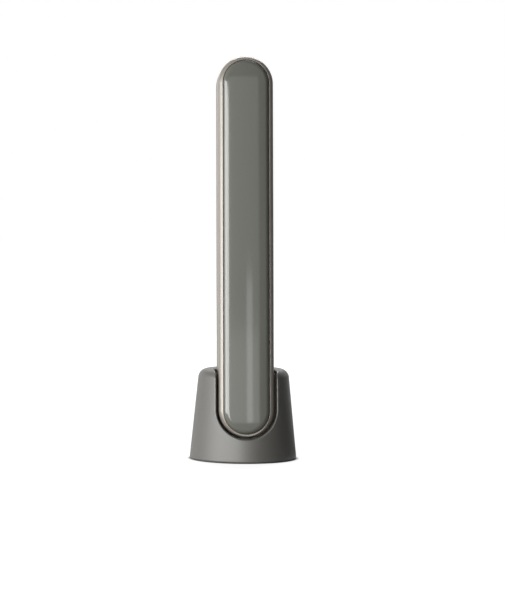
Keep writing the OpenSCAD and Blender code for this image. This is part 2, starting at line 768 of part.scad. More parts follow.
module cradle_magnet() color("#a9abb0") in_wand()
    translate([0, contact_y, block_z1 - magnet_t]) cylinder(r = magnet_r, h = magnet_t - touch);

module pin_barrels() color("#cfa94a") in_wand() at_contacts() rotate_extrude() difference() {
    floor_z = barrel_z0 + barrel_floor;
    translate([0, barrel_z0]) square([barrel_r, barrel_z1 - barrel_z0]);
    translate([-1, floor_z]) square([barrel_bore + 1, barrel_z1 - neck_t - floor_z]);
    translate([-1, floor_z]) square([neck_bore + 1, 10]);
}

// Hollow charging pin: tip through the neck, wider body under it, bore for the spring
module charging_pin(s) color("#e0bc55") in_wand() translate([s * contact_x, contact_y, 0])
    rotate_extrude() difference() {
        union() {
            translate([0, pin_body_z0]) square([pin_body_r, pin_body_z1 - pin_body_z0]);
            translate([0, pin_body_z1 - EPS]) square([pin_r, pin_top - 0.3 - pin_body_z1 + EPS]);
            polygon([[0, pin_top - 0.3], [pin_r, pin_top - 0.3], [pin_r - 0.3, pin_top], [0, pin_top]]);
        }
        translate([-1, pin_body_z0 - 1]) square([pin_hole_r + 1, pin_roof - pin_body_z0 + 1]);
    }

module left_pin() charging_pin(-1);

module right_pin() charging_pin(1);

// Springs inside the pins, as plain sleeves at their closed length
module pin_springs() color("#b9bbbf") in_wand() at_contacts() rotate_extrude()
    translate([spring_r - spring_wire, barrel_z0 + barrel_floor])
        square([spring_wire, pin_roof - pin_travel - touch - barrel_z0 - barrel_floor]);

// Wires from the tails of the pins, under the charger board and up to its underside
module pin_leads() color("#b03028") for (s = [-1, 1]) translate([s * contact_x, 0, 0]) {
    translate([0, wire_y, wire_z]) mirror([0, 0, 1])
        elbow_wire(wire_drop, wire_turn, rise_y - wire_y - wire_turn);
    translate([0, rise_y, wire_z - wire_drop - wire_turn]) wire_rise();
}

// Quarter turn of a wire from +Y up to +Z, and its straight end at the board's underside
module wire_rise() {
    translate([0, 0, wire_turn]) rotate([0, 90, 0]) rotate_extrude(angle = 90, $fn = 24)
        translate([wire_turn, 0]) circle(wire_r, $fn = 24);
    translate([0, wire_turn, wire_turn])
        cylinder(r = wire_r, h = charger_z - wire_z + wire_drop, $fn = 24);
}

front_cover();
rim_frame();
rear_shell();
treatment_ring();
led_window();
window_gasket();
reflector_tray();
led_board();
red_leds();
infrared_leds();
heat_spreader();
led_screws();
chassis();
battery_pack();
battery_pad();
battery_leads();
main_board();
board_chips();
tact_switches();
led_flex();
power_button();
power_plunger();
mode_button();
mode_plunger();
indicator_lens();
vibration_motor();
motor_clip();
motor_shaft();
motor_weight();
motor_leads();
contact_pads();
contact_carrier();
wand_magnet();
shell_screws();
cradle_shell();
wand_socket();
base_plate();
foot_pad();
base_screws();
ballast_weight();
charger_board();
charger_chips();
board_screws();
usb_shell();
usb_tongue();
pin_block();
pin_barrels();
left_pin();
right_pin();
pin_springs();
cradle_magnet();
pin_leads();
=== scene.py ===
import json
import math
from types import SimpleNamespace

import bmesh
import bpy
import numpy as np
from mathutils import Matrix, Vector


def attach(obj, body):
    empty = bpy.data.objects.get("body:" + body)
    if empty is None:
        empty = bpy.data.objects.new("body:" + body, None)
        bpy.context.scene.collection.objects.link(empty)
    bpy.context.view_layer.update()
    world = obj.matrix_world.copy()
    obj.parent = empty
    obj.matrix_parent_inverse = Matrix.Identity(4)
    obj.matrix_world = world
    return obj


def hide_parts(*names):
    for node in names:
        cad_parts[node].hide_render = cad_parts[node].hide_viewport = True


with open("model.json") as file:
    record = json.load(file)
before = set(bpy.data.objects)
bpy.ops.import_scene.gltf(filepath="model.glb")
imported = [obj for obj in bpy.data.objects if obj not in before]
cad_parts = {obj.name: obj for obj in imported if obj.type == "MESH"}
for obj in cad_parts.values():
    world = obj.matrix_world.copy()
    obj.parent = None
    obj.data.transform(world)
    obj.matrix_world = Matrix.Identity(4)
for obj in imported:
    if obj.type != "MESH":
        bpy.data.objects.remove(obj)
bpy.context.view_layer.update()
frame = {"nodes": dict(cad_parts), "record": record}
cadNodes = frame["nodes"]
print("frame loaded:", len(cadNodes), "nodes")

# camera: distance and height in metres, azimuth and roll in degrees, focal length and the
# optical centre in pixels of a 505 by 606 picture, sensor in mm, clipping in metres
cameraSet = dict(distance=1.401, height=0.1578, lookHeight=0.1, azimuth=-5.08, roll=0.46,
                 focal=2574.7, centreX=244.45, centreY=275.05, width=505, tall=606, sensor=36,
                 clipStart=0.01, clipEnd=50)


def named(values):
    # The values of a dictionary as attributes.
    return SimpleNamespace(**values)


def addObject(name, data):
    # New object in the scene.
    item = bpy.data.objects.new(name, data)
    bpy.context.scene.collection.objects.link(item)
    return item


def placeCamera(s):
    # Aims the camera along the ray of the picture's middle, so that the lens needs no shift.
    az, roll = math.radians(s.azimuth), math.radians(s.roll)
    eye = Vector((s.distance * math.sin(az), -s.distance * math.cos(az), s.height))
    ahead = (Vector((0, 0, s.lookHeight)) - eye).normalized()
    right = ahead.cross(Vector((0, 0, 1))).normalized()
    up = right.cross(ahead)
    dx, dy = s.width / 2 - s.centreX, s.tall / 2 - s.centreY
    x = (dx * math.cos(roll) + dy * math.sin(roll)) / s.focal
    y = (-dx * math.sin(roll) + dy * math.cos(roll)) / s.focal
    forward = (ahead + right * x - up * y).normalized()
    camUp = up * math.cos(roll) - right * math.sin(roll)
    camRight = forward.cross(camUp).normalized()
    camUp = camRight.cross(forward)
    data = bpy.data.cameras.new("photoCamera")
    data.sensor_width = s.sensor
    data.lens = s.sensor * s.focal / s.tall
    data.clip_start, data.clip_end = s.clipStart, s.clipEnd
    cam = addObject("photoCamera", data)
    cam.matrix_world = Matrix((*((camRight[k], camUp[k], -forward[k], eye[k]) for k in range(3)),
                               (0, 0, 0, 1)))
    bpy.context.scene.camera = cam


placeCamera(named(cameraSet))
bpy.context.scene.view_settings.view_transform = "Standard"
print("camera placed")


# how the wand stands in the cradle: lean in degrees, the rest in millimetres
stanceSet = dict(lean=6.8, seatY=-13.1018, seatZ=12.4)
stance = named(stanceSet)
lean = math.radians(stance.lean)
leanSin, leanCos = math.sin(lean), math.cos(lean)


def emptyMaterial(name):
    # New material with an empty tree of nodes.
    m = bpy.data.materials.new(name)
    m.use_nodes = True
    m.node_tree.nodes.clear()
    return m, m.node_tree


def feed(tree, socket, value):
    # Wires a socket in, or sets a value.
    if isinstance(value, bpy.types.NodeSocket):
        tree.links.new(value, socket)
    else:
        socket.default_value = value


def addNode(tree, kind, feeds=(), **sets):
    # New node with its settings; feeds holds a socket or a value for each input named. All
    # kinds but the ends of a group are given without their ShaderNode.
    node = tree.nodes.new(kind if kind.startswith("NodeGroup") else "ShaderNode" + kind)
    for key, value in sets.items():
        setattr(node, key, value)
    for key, value in dict(feeds).items():
        feed(tree, node.inputs[key], value)
    return node


def calc(tree, operation, *values):
    # One step of arithmetic on sockets or numbers.
    return addNode(tree, "Math", enumerate(values), operation=operation).outputs[0]


def vectorCalc(tree, operation, feeds):
    # One step of arithmetic on vectors.
    return addNode(tree, "VectorMath", feeds, operation=operation).outputs["Vector"]


def rootOfSquares(tree, a, b):
    # Length of the step a, b.
    squares = (calc(tree, "MULTIPLY", v, v) for v in (a, b))
    return calc(tree, "SQRT", calc(tree, "ADD", *squares))


def farFrom(tree, value, middle):
    # Distance of the value from the middle.
    return calc(tree, "ABSOLUTE", calc(tree, "SUBTRACT", value, middle))


def softStep(tree, value, edge, blur):
    # 1 below the edge, 0 above it, falling over the width of the blur.
    share = calc(tree, "DIVIDE", calc(tree, "SUBTRACT", edge, value), blur)
    return calc(tree, "MINIMUM", calc(tree, "MAXIMUM", share, 0), 1)


def rampUp(tree, value, limits):
    # Smooth rise of the value between the limits From Min, From Max, To Min and To Max.
    return addNode(tree, "MapRange", {"Value": value, **limits},
                   interpolation_type="SMOOTHSTEP").outputs["Result"]


def mixColors(tree, share, under, over):
    # Colour under where the share is 0 and over where it is 1; inputs 6 and 7 are the colours.
    mix = addNode(tree, "Mix", {0: share, 6: under, 7: over}, data_type="RGBA")
    return mix.outputs[2]


def attributeAt(tree, name):
    # The number that the mesh stores under the name.
    return addNode(tree, "Attribute", attribute_name=name).outputs["Fac"]


def hexColor(text):
    # sRGB hex to linear colour
    c = [int(text[i:i + 2], 16) / 255 for i in (0, 2, 4)]
    return [v / 12.92 if v <= 0.04045 else ((v + 0.055) / 1.055) ** 2.4 for v in c] + [1]


def noiseAt(g, vector, scale, detail=3, warp=0.0):
    # Height of a noise at the vector, a socket; the scale is a socket or a number.
    return addNode(g, "TexNoise", {"Vector": vector, "Scale": scale, "Detail": detail,
                                             "Distortion": warp}).outputs["Fac"]


def makeGroup(name, inputs, outputs, fill):
    # Shader group: inputs holds a default for each name, and outputs the names. fill gets the
    # tree and the input sockets, and gives a socket for each output in turn.
    g = bpy.data.node_groups.new(name, "ShaderNodeTree")
    for label, value in inputs.items():
        kind = "Float" if isinstance(value, float) else "Color" if len(value) == 4 else "Vector"
        socket = g.interface.new_socket(name=label, in_out="INPUT", socket_type="NodeSocket" + kind)
        socket.default_value = value
    for label in outputs:
        kind = "Color" if label == "Color" else "Float"
        g.interface.new_socket(name=label, in_out="OUTPUT", socket_type="NodeSocket" + kind)
    a, b = addNode(g, "NodeGroupInput"), addNode(g, "NodeGroupOutput")
    for k, socket in enumerate(fill(g, a.outputs)):
        feed(g, b.inputs[k], socket)
    return g


def tinted(g, color, value, strength):
    # The colour times one plus the value times the strength.
    factor = calc(g, "MULTIPLY_ADD", value, strength, 1.0)
    return vectorCalc(g, "SCALE", {0: color, "Scale": factor})


def makePatternGroup(name, pattern, **more):
    # Shader group: the pattern gives a value round 0, which shifts the tone and the roughness
    # by Tone and Spread, and a height.
    def fill(g, a):
        # Colour and roughness shifted by the pattern's value, and its height.
        value, height = pattern(g, a)
        return (tinted(g, a["Color"], value, a["Tone"]),
                calc(g, "MULTIPLY_ADD", value, a["Spread"], a["Roughness"]), height)

    return makeGroup(name, {"Vector": (0, 0, 0), "Color": grey, "Scale": 3000.0, "Tone": 0.06,
                            "Roughness": 0.5, "Spread": 0.08, **more},
                     ("Color", "Roughness", "Height"), fill)


def grainPattern(g, a):
    # Moulded grain: a fine noise for the height, and a wide one that clouds the tone.
    fine, wide = noiseAt(g, a["Vector"], a["Scale"]), noiseAt(g, a["Vector"], 45, 4)
    return calc(g, "SUBTRACT", calc(g, "ADD", fine, wide), 1.0), fine


def streakPattern(g, a):
    # Brushed or drawn metal: a noise drawn out along the Draw vector's small numbers.
    drawn = vectorCalc(g, "MULTIPLY", {0: a["Vector"], 1: a["Draw"]})
    fine, wide = noiseAt(g, drawn, a["Scale"], 2), noiseAt(g, a["Vector"], 90, 3)
    return calc(g, "SUBTRACT", calc(g, "MULTIPLY_ADD", wide, 0.5, fine), 0.75), fine


def cellPattern(g, a):
    # Foam or fired crumbs: distance from the middle of each cell.
    cells = addNode(g, "TexVoronoi", {"Vector": a["Vector"], "Scale": a["Scale"]})
    far = cells.outputs["Distance"]
    return calc(g, "SUBTRACT", far, 0.45), far


def wrapPattern(g, a):
    # Shrunk film: long soft folds, warped, with a fine noise on top.
    drawn = vectorCalc(g, "MULTIPLY", {0: a["Vector"], 1: a["Draw"]})
    folds, fine = noiseAt(g, drawn, a["Scale"], 3, 1.2), noiseAt(g, a["Vector"], 2500, 2)
    return calc(g, "SUBTRACT", calc(g, "MULTIPLY_ADD", fine, 0.3, folds), 0.65), folds


def wearFill(g, a):
    # Handling along edges: where the Edge mark meets a wide noise the tone lifts and the
    # surface is polished.
    patchy = calc(g, "SUBTRACT", 1.0, softStep(g, noiseAt(g, a["Vector"], 260, 5), 0.56, 0.2))
    mask = calc(g, "MULTIPLY", a["Edge"], calc(g, "MULTIPLY_ADD", patchy, 0.6, 0.4))
    return (tinted(g, a["Color"], mask, a["Lift"]),
            calc(g, "SUBTRACT", a["Roughness"], calc(g, "MULTIPLY", mask, a["Polish"])))


def trackFill(g, a):
    # Printed circuit: U and V count track pitches. In blocks of eight by eight the tracks run
    # one way or the other, or leave room for plated holes. Puts out the tone and the height.
    def chance(step, seed, limit):
        # 1 in those blocks of the step's size whose random number is over the limit.
        block = [calc(g, "FLOOR", calc(g, "DIVIDE", a[name], step)) for name in "UV"]
        spot = addNode(g, "CombineXYZ", enumerate([*block, seed])).outputs[0]
        white = addNode(g, "TexWhiteNoise", {"Vector": spot}, noise_dimensions="3D")
        return calc(g, "GREATER_THAN", white.outputs["Value"], limit)

    u, v = (calc(g, "SUBTRACT", calc(g, "FRACT", a[name]), 0.5) for name in "UV")
    lineU, lineV = (softStep(g, calc(g, "ABSOLUTE", w), 0.24, 0.08) for w in (u, v))
    turned, tracked, drilled = chance(8, 3, 0.5), chance(4, 7, 0.35), chance(1, 11, 0.72)
    line = calc(g, "ADD", calc(g, "MULTIPLY", turned, lineU),
                calc(g, "MULTIPLY", calc(g, "SUBTRACT", 1.0, turned), lineV))
    line = calc(g, "MULTIPLY", line, tracked)
    hole = calc(g, "MULTIPLY", softStep(g, rootOfSquares(g, u, v), 0.34, 0.08), drilled)
    hole = calc(g, "MULTIPLY", hole, calc(g, "SUBTRACT", 1.0, tracked))
    hole = calc(g, "MULTIPLY", hole, a["Holes"])
    color = mixColors(g, hole, mixColors(g, line, a["Board"], a["Track"]), a["Hole"])
    return color, calc(g, "MAXIMUM", line, hole)


grey = (0.5, 0.5, 0.5, 1)
patternGroups = dict(grain=makePatternGroup("mouldGrain", grainPattern),
                     streaks=makePatternGroup("brushedStreaks", streakPattern, Draw=(1, 1, 1)),
                     cells=makePatternGroup("foamCells", cellPattern),
                     wrap=makePatternGroup("shrunkFilm", wrapPattern, Draw=(1, 1, 1)))
wearGroup = makeGroup("edgeWear", {
    "Vector": (0, 0, 0), "Color": grey, "Roughness": 0.5, "Edge": 0.0, "Lift": 0.08,
    "Polish": 0.1}, ("Color", "Roughness"), wearFill)
trackGroup = makeGroup("circuitTracks", {
    "U": 0.0, "V": 0.0, "Board": (0.02, 0.1, 0.05, 1), "Track": (0.05, 0.2, 0.1, 1),
    "Hole": (0.6, 0.45, 0.15, 1), "Holes": 1.0}, ("Color", "Height"), trackFill)


def addGroup(tree, group, feeds):
    # A shader group as a node: its tree is set first, so that it has the inputs to feed.
    return addNode(tree, "Group", feeds, node_tree=group)


def addBump(tree, shader, height, distance):
    # Lets the height bend the shader's normal.
    bump = addNode(tree, "Bump", {"Distance": distance, "Height": height})
    feed(tree, shader.inputs["Normal"], bump.outputs["Normal"])


def startFinish(name, color, rough, metallic=0.0, scale=2600.0, tone=0.06, spread=0.08,
                bump=0.000004, transmission=0.0, pattern="grain", draw=None, lift=0.0, polish=0.0):
    # Plastic, metal or rubber: colour, roughness and bump come from one pattern group, and
    # where lift or polish is given the edges are worn. Gives the material with its tree, shader,
    # pattern node and object coordinates.
    m, tree = emptyMaterial(name)
    shader = addNode(tree, "BsdfPrincipled",
                     {"Metallic": metallic, "Transmission Weight": transmission})
    addNode(tree, "OutputMaterial", {"Surface": shader.outputs[0]})
    place = addNode(tree, "TexCoord").outputs["Object"]
    grain = addGroup(tree, patternGroups[pattern], {
        "Vector": place, "Color": color, "Scale": scale, "Tone": tone, "Roughness": rough,
        "Spread": spread, **({"Draw": draw} if draw else {})})
    out = grain.outputs
    if lift or polish:
        out = addGroup(tree, wearGroup, {
            "Vector": place, "Color": out["Color"], "Roughness": out["Roughness"],
            "Edge": attributeAt(tree, "edge"), "Lift": lift, "Polish": polish}).outputs
    feed(tree, shader.inputs["Base Color"], out["Color"])
    feed(tree, shader.inputs["Roughness"], out["Roughness"])
    if bump:
        addBump(tree, shader, grain.outputs["Height"], bump)
    return m, tree, shader, grain, place


def plainFinish(name, color, rough, **more):
    # The material alone, from a hex colour.
    return startFinish(name, hexColor(color), rough, **more)[0]


def paneFinish(name, color, rough, clear, border):
    # Clear pane: its "border" attribute, 1 along the edge, raises the alpha from clear to border.
    m, tree, shader, *_ = startFinish(name, hexColor(color), rough, tone=0.02, spread=0.05, bump=0)
    alpha = rampUp(tree, attributeAt(tree, "border"), {"To Min": clear, "To Max": border})
    feed(tree, shader.inputs["Alpha"], alpha)
    return m


def wandCoords(tree, place, height=0.0):
    # Object coordinates turned into the wand's frame, in mm: x, and z from the height.
    turn = addNode(tree, "Mapping", {
        "Vector": place, "Location": (0, stance.seatY / 1000, stance.seatZ / 1000),
        "Rotation": (-lean, 0, 0), "Scale": (0.001, 0.001, 0.001)}, vector_type="TEXTURE")
    shifted = vectorCalc(tree, "SUBTRACT", {0: turn.outputs["Vector"], 1: (0, 0, height)})
    parts = addNode(tree, "SeparateXYZ", {0: shifted}).outputs
    return parts[0], parts[2]


def boardFinish(name, board, track, pitch, inWand, holes=1.0):
    # Circuit board or flat cable: tracks a pitch apart in mm, laid out over the wand's width
    # and length or over the cradle's floor.
    board, track = hexColor(board), hexColor(track)
    m, tree, shader, grain, place = startFinish(name, board, 0.3, bump=0)
    if inWand:
        x, z = wandCoords(tree, place)
    else:
        parts = addNode(tree, "SeparateXYZ", {0: place}).outputs
        x, z = (calc(tree, "MULTIPLY", parts[k], 1000.0) for k in (0, 1))
    tracks = addGroup(tree, trackGroup, {
        "U": calc(tree, "DIVIDE", x, pitch), "V": calc(tree, "DIVIDE", z, pitch),
        "Board": board, "Track": track, "Holes": holes})
    feed(tree, grain.inputs["Color"], tracks.outputs["Color"])
    addBump(tree, shader, tracks.outputs["Height"], 0.00003)
    return m


def diodeFinish(name, body, lens):
    # Pale body and coloured lens, told apart by the "lens" attribute.
    body, lens = hexColor(body), hexColor(lens)
    m, tree, _, grain, _ = startFinish(name, body, 0.35, bump=0)
    mark = attributeAt(tree, "lens")
    feed(tree, grain.inputs["Color"], mixColors(tree, mark, body, lens))
    gloss = addNode(tree, "MapRange", {"Value": mark, "To Min": 0.4, "To Max": 0.08})
    feed(tree, grain.inputs["Roughness"], gloss.outputs["Result"])
    return m


# printed signs on the keys, in mm
signSet = dict(ringR=1.35, line=0.17, gapSlope=1.35, barTop=1.75, barLow=0.55, dotR=0.36,
               dotStep=2.3, blur=0.05, ink="d4d1c8", power=90.2, mode=73.2)


def keyFinish(name, sign, s):
    # Satin key with a light printed sign: a ring that is open at the top with a bar for power,
    # or three dots for mode. The sign's mask is one distance in x and z after another.
    color = hexColor(keyColor)
    m, tree, _, grain, place = startFinish(name, color, 0.34, bump=0.000002, lift=0.08, polish=0.1)

    def within(value, edge):
        # 1 where the value is below the edge, with the print's blur.
        return softStep(tree, value, edge, s.blur)

    if sign == "power":
        x, z = wandCoords(tree, place, s.power)
        side = calc(tree, "ABSOLUTE", x)
        ring = within(farFrom(tree, rootOfSquares(tree, x, z), s.ringR), s.line)
        gap = within(calc(tree, "SUBTRACT", z, calc(tree, "MULTIPLY", side, s.gapSlope)), 0)
        tall = within(farFrom(tree, z, (s.barTop + s.barLow) / 2), (s.barTop - s.barLow) / 2)
        bar = calc(tree, "MULTIPLY", within(side, s.line), tall)
        mask = calc(tree, "MAXIMUM", calc(tree, "MULTIPLY", ring, gap), bar)
    else:
        x, z = wandCoords(tree, place, s.mode)
        half = s.dotStep / 2
        near = farFrom(tree, farFrom(tree, calc(tree, "ABSOLUTE", z), half), half)
        mask = within(rootOfSquares(tree, x, near), s.dotR)
    feed(tree, grain.inputs["Color"], mixColors(tree, mask, color, hexColor(s.ink)))
    return m


# finishes: colour, roughness, and what departs from the plain one
alongWand, keyColor = (1.0, 0.12, 0.06), "75756e"
lead = dict(pattern="wrap", scale=420.0, draw=(1.0, 1.0, 0.4), tone=0.16, bump=0.00001)
metal = dict(metallic=1.0, pattern="streaks")
crumbs = dict(metallic=1.0, pattern="cells")
plainFinishes = dict(
    cover=("coverGloss", "62635c", 0.08, dict(
        tone=0.02, spread=0.02, bump=0, lift=0.02, polish=0.02)),
    rim=("champagneRim", "88827a", 0.3, dict(
        metallic=0.1, tone=0.03, bump=0, lift=0.05, polish=0.05)),
    casing=("casingSatin", "605f59", 0.42, dict(lift=0.08, polish=0.1)),
    treatment_metal=("treatmentRing", "cfc6b9", 0.16, dict(
        metal, bump=0.0000004, scale=9000.0, draw=alongWand, tone=0.05, spread=0.06)),
    seal=("sealRubber", "2b2b2c", 0.7, dict(scale=5200.0, bump=0.000012)),
    tray=("trayWhite", "e6e5e0", 0.3, dict(tone=0.04, bump=0.000002)),
    aluminium=("spreaderAluminium", "babbbd", 0.36, dict(
        metal, scale=7000.0, draw=alongWand, tone=0.16, spread=0.2, bump=0.000003)),
    steel=("screwSteel", "a9abb0", 0.3, dict(
        metal, scale=5000.0, draw=(1.0, 0.2, 1.0), tone=0.12, spread=0.16, bump=0.000002)),
    frame_plastic=("framePlastic", "505156", 0.5, dict(tone=0.09, bump=0.000008)),
    cell_wrap=("cellWrap", "7f98b0", 0.24, dict(
        pattern="wrap", scale=260.0, draw=(1.0, 1.0, 0.35), tone=0.14, spread=0.1, bump=0.00012)),
    foam=("padFoam", "2b2b2d", 0.9, dict(pattern="cells", tone=0.7, spread=0.1, bump=0.00015)),
    red_wire=("redWire", "b03028", 0.38, lead),
    blue_wire=("blueWire", "2b4f9c", 0.38, lead),
    chip=("chipEpoxy", "232326", 0.5, dict(pattern="cells", scale=6500.0, tone=0.5, bump=0.00001)),
    button=("buttonSatin", keyColor, 0.34, dict(lift=0.08, polish=0.1)),
    plunger=("plungerPlastic", "dad6ce", 0.4, dict(tone=0.08)),
    light_pipe=("lightPipe", "eef4ef", 0.15, dict(transmission=0.7, bump=0.000001)),
    tungsten=("weightTungsten", "8c7a5a", 0.4, dict(
        crumbs, scale=4000.0, tone=0.35, spread=0.2, bump=0.00001)),
    gold_contact=("goldContact", "dcb45a", 0.22, dict(
        metal, scale=8000.0, draw=(1.0, 1.0, 0.3), tone=0.08, spread=0.1, bump=0.0000006)),
    magnet=("magnetNickel", "b4b6ba", 0.2, dict(
        metal, scale=6000.0, draw=(1.0, 0.5, 0.5), tone=0.1, spread=0.12, bump=0.000001)),
    cradle=("cradleMatte", "5f5e5a", 0.44, dict(lift=0.07, polish=0.08)),
    pocket=("pocketMatte", "6e695f", 0.6, dict(scale=2200.0, bump=0.00001)),
    base=("baseMatte", "4a4b49", 0.55, dict(scale=2200.0, bump=0.00001)),
    foot_rubber=("footRubber", "2c2d2d", 0.75, dict(
        scale=4200.0, tone=0.12, bump=0.00002, lift=0.2)),
    ballast_steel=("ballastSteel", "8d8f92", 0.45, dict(
        crumbs, scale=2400.0, tone=0.3, spread=0.25, bump=0.00002)),
    socket_steel=("socketSteel", "c9cbce", 0.25, dict(
        metal, scale=7000.0, draw=(0.1, 1.0, 1.0), tone=0.08, spread=0.12, bump=0.000001)))
finishes = {key: plainFinish(name, color, rough, **more)
            for key, (name, color, rough, more) in plainFinishes.items()}
finishes.update(
    window=paneFinish("windowPane", "f1ece8", 0.12, 0.17, 0.85),
    circuit_board=boardFinish("boardGreen", "1f4d36", "336c4d", 0.62, True),
    flex_film=boardFinish("flexFilm", "b06f22", "cf9545", 0.5, True, 0.0),
    red_diode=diodeFinish("redDiode", "e8e2d6", "d0241c"),
    infrared_diode=diodeFinish("infraredDiode", "dcd8d0", "3a2130"))
nodeFinishes = dict(charger_board=boardFinish("chargerBoardGreen", "1f4d36", "336c4d", 0.62, False))
for part in frame["record"]["subparts"]:
    mesh = cadNodes[part["node"]].data
    mesh.materials.clear()
    mesh.materials.append(nodeFinishes.get(part["node"], finishes[part["material_slot"]]))
print("finishes set on the frame's nodes")


def toPoints(*coords):
    # Coordinates, each a number or an array, put together into points.
    return np.stack(np.broadcast_arrays(*coords), -1)


def fromWand(p):
    # Wand frame to the cradle's frame: y and z turn by the lean, then move to the seat.
    x, y, z = np.moveaxis(p, -1, 0)
    return toPoints(x, stance.seatY + y * leanCos + z * leanSin,
                    stance.seatZ - y * leanSin + z * leanCos)


def toWand(p):
    # The same the other way round.
    y, z = p[..., 1] - stance.seatY, p[..., 2] - stance.seatZ
    return toPoints(p[..., 0], y * leanCos - z * leanSin, y * leanSin + z * leanCos)


def gridFaces(rows, cols, first, wrapRows=False, wrapCols=False):
    # Four-sided faces of a grid of points, numbered row by row from first.
    r = np.arange(rows if wrapRows else rows - 1)[:, None]
    c = np.arange(cols if wrapCols else cols - 1)[None, :]
    r2, c2 = (r + 1) % rows, (c + 1) % cols
    faces = toPoints(r * cols + c, r * cols + c2, r2 * cols + c2, r2 * cols + c)
    return first + faces.reshape(-1, 4)


def readAll(items, name, kind, *width):
    # One property of all the items as an array, in rows of the given width.
    values = np.empty((len(items), *width), kind)
    items.foreach_get(name, values.ravel())
    return values


def setMark(mesh, name, values):
    # Stores one number per point, which a material reads.
    mesh.attributes.new(name, "FLOAT", "POINT").data.foreach_set("value", values)


def markEdges(mesh, low=0.28, high=0.9, shortest=0.05):
    # Edge mark for the wear: bend per mm across each convex edge, the angle between its two
    # faces over the distance of their middles; each point keeps its largest.
    edgeOf = readAll(mesh.loops, "edge_index", np.int32)
    total = readAll(mesh.polygons, "loop_total", np.int32)
    normal = readAll(mesh.polygons, "normal", float, 3)
    centre = readAll(mesh.polygons, "center", float, 3) * 1000
    faceOf = np.repeat(np.arange(len(total)), total)
    order = np.argsort(edgeOf, kind="stable")
    sortedEdge, sortedFace = edgeOf[order], faceOf[order]
    pair = np.flatnonzero(sortedEdge[1:] == sortedEdge[:-1])
    f1, f2 = sortedFace[pair], sortedFace[pair + 1]
    gap = centre[f2] - centre[f1]
    length = np.maximum(np.linalg.norm(gap, axis=1), shortest)
    angle = np.arccos(np.clip((normal[f1] * normal[f2]).sum(1), -1, 1))
    bend = np.where((gap * normal[f1]).sum(1) < 0, angle / length, 0)
    mark = np.zeros(len(mesh.vertices))
    for end in readAll(mesh.edges, "vertices", np.int32, 2)[sortedEdge[pair]].T:
        np.maximum.at(mark, end, bend)
    setMark(mesh, "edge", np.clip((mark - low) / (high - low), 0, 1))


def makePiece(name, grids, body, slotName, replaced=None, material=None, merge=0.0008, sharp=40):
    # Joins grids of points in mm, each (points, wrapRows, wrapCols) and, where cells are left
    # out, their mask, into one closed smooth mesh. Only the cradle's own are not in the
    # wand's frame.
    points, faces, count = [], [], 0
    for p, wrapRows, wrapCols, *gone in grids:
        cells = gridFaces(p.shape[0], p.shape[1], count, wrapRows, wrapCols)
        faces.append(cells[~gone[0].ravel()] if gone else cells)
        points.append((p if body == "cradle" else fromWand(p)).reshape(-1, 3))
        count += p.shape[0] * p.shape[1]
    mesh = bpy.data.meshes.new(name)
    mesh.from_pydata((np.concatenate(points) / 1000).tolist(), [], np.concatenate(faces).tolist())
    work = bmesh.new()
    work.from_mesh(mesh)
    bmesh.ops.remove_doubles(work, verts=work.verts, dist=merge / 1000)
    bmesh.ops.dissolve_degenerate(work, edges=work.edges, dist=merge / 2000)
    bmesh.ops.recalc_face_normals(work, faces=work.faces)
    openEdges = sum(1 for e in work.edges if not e.is_manifold)
    work.to_mesh(mesh)
    work.free()
    mesh.shade_smooth()
    mesh.set_sharp_from_angle(angle=math.radians(sharp))
    markEdges(mesh)
    piece = addObject(name, mesh)
    mesh.materials.append(material or finishes[slotName])
    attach(piece, body)
    if replaced:
        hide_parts(replaced)
    print("made", name, len(mesh.polygons), "faces, open edges", openEdges)
    return piece


def roundCorners(corners, steps=6):
    # Profile through (x, y, radius) corners: each corner with a radius becomes an arc that
    # touches both its legs, its tangent length being radius over the tangent of half the angle.
    c = np.array(corners, float)
    out = [c[0, :2]]
    for k in range(1, len(c) - 1):
        p, radius = c[k, :2], c[k, 2]
        if radius <= 0:
            out.append(p)
            continue
        u, v = ((c[i, :2] - p) / np.linalg.norm(c[i, :2] - p) for i in (k - 1, k + 1))
        half = math.acos(np.clip(u @ v, -1, 1)) / 2
        mid = (u + v) / np.linalg.norm(u + v)
        centre = p + mid * radius / math.sin(half)
        start, end = (p + leg * radius / math.tan(half) - centre for leg in (u, v))
        turn = math.atan2(start[0] * end[1] - start[1] * end[0], start @ end)
        a = np.linspace(0, turn, steps + 1)
        out.extend(centre + toPoints(start[0] * np.cos(a) - start[1] * np.sin(a),
                                     start[0] * np.sin(a) + start[1] * np.cos(a)))
    out.append(c[-1, :2])
    return np.array(out)


def stadiumPath(sideShares, arcSteps):
    # Way round a stadium, from the foot of its right side: outward direction in x and z, and
    # the share of the way up the straight side.
    a = np.linspace(0, math.pi, arcSteps + 1)[1:-1]
    up = np.array(sideShares, float)
    one, none = np.ones(len(up)), np.zeros(len(up))
    return (np.concatenate([one, np.cos(a), -one, -np.cos(a)]),
            np.concatenate([none, np.sin(a), none, -np.sin(a)]),
            np.concatenate([up, np.ones(len(a)), up[::-1], np.zeros(len(a))]))


def sweepStadium(profile, low, high, path):
    # Profile points (out from the centre line, across) carried round the stadium whose centre
    # line runs from low to high: x = nx * out, z = low + share * (high - low) + nz * out.
    nx, nz, share = (v[:, None] for v in path)
    out, across = profile[None, :, 0], profile[None, :, 1]
    return toPoints(nx * out, across, low + share * (high - low) + nz * out)


def turnProfile(profile, steps, x=0, z=0):
    # Profile points (radius, height) turned once round an axis along y through x and z.
    a = np.linspace(0, 2 * math.pi, steps, endpoint=False)[:, None]
    r, h = profile[None, :, 0], profile[None, :, 1]
    return toPoints(r * np.cos(a), h, r * np.sin(a)) + np.array([x, 0, z])


def upright(p):
    # Turned points with y and z exchanged, so that their axis is the upright one.
    return p[..., [0, 2, 1]]


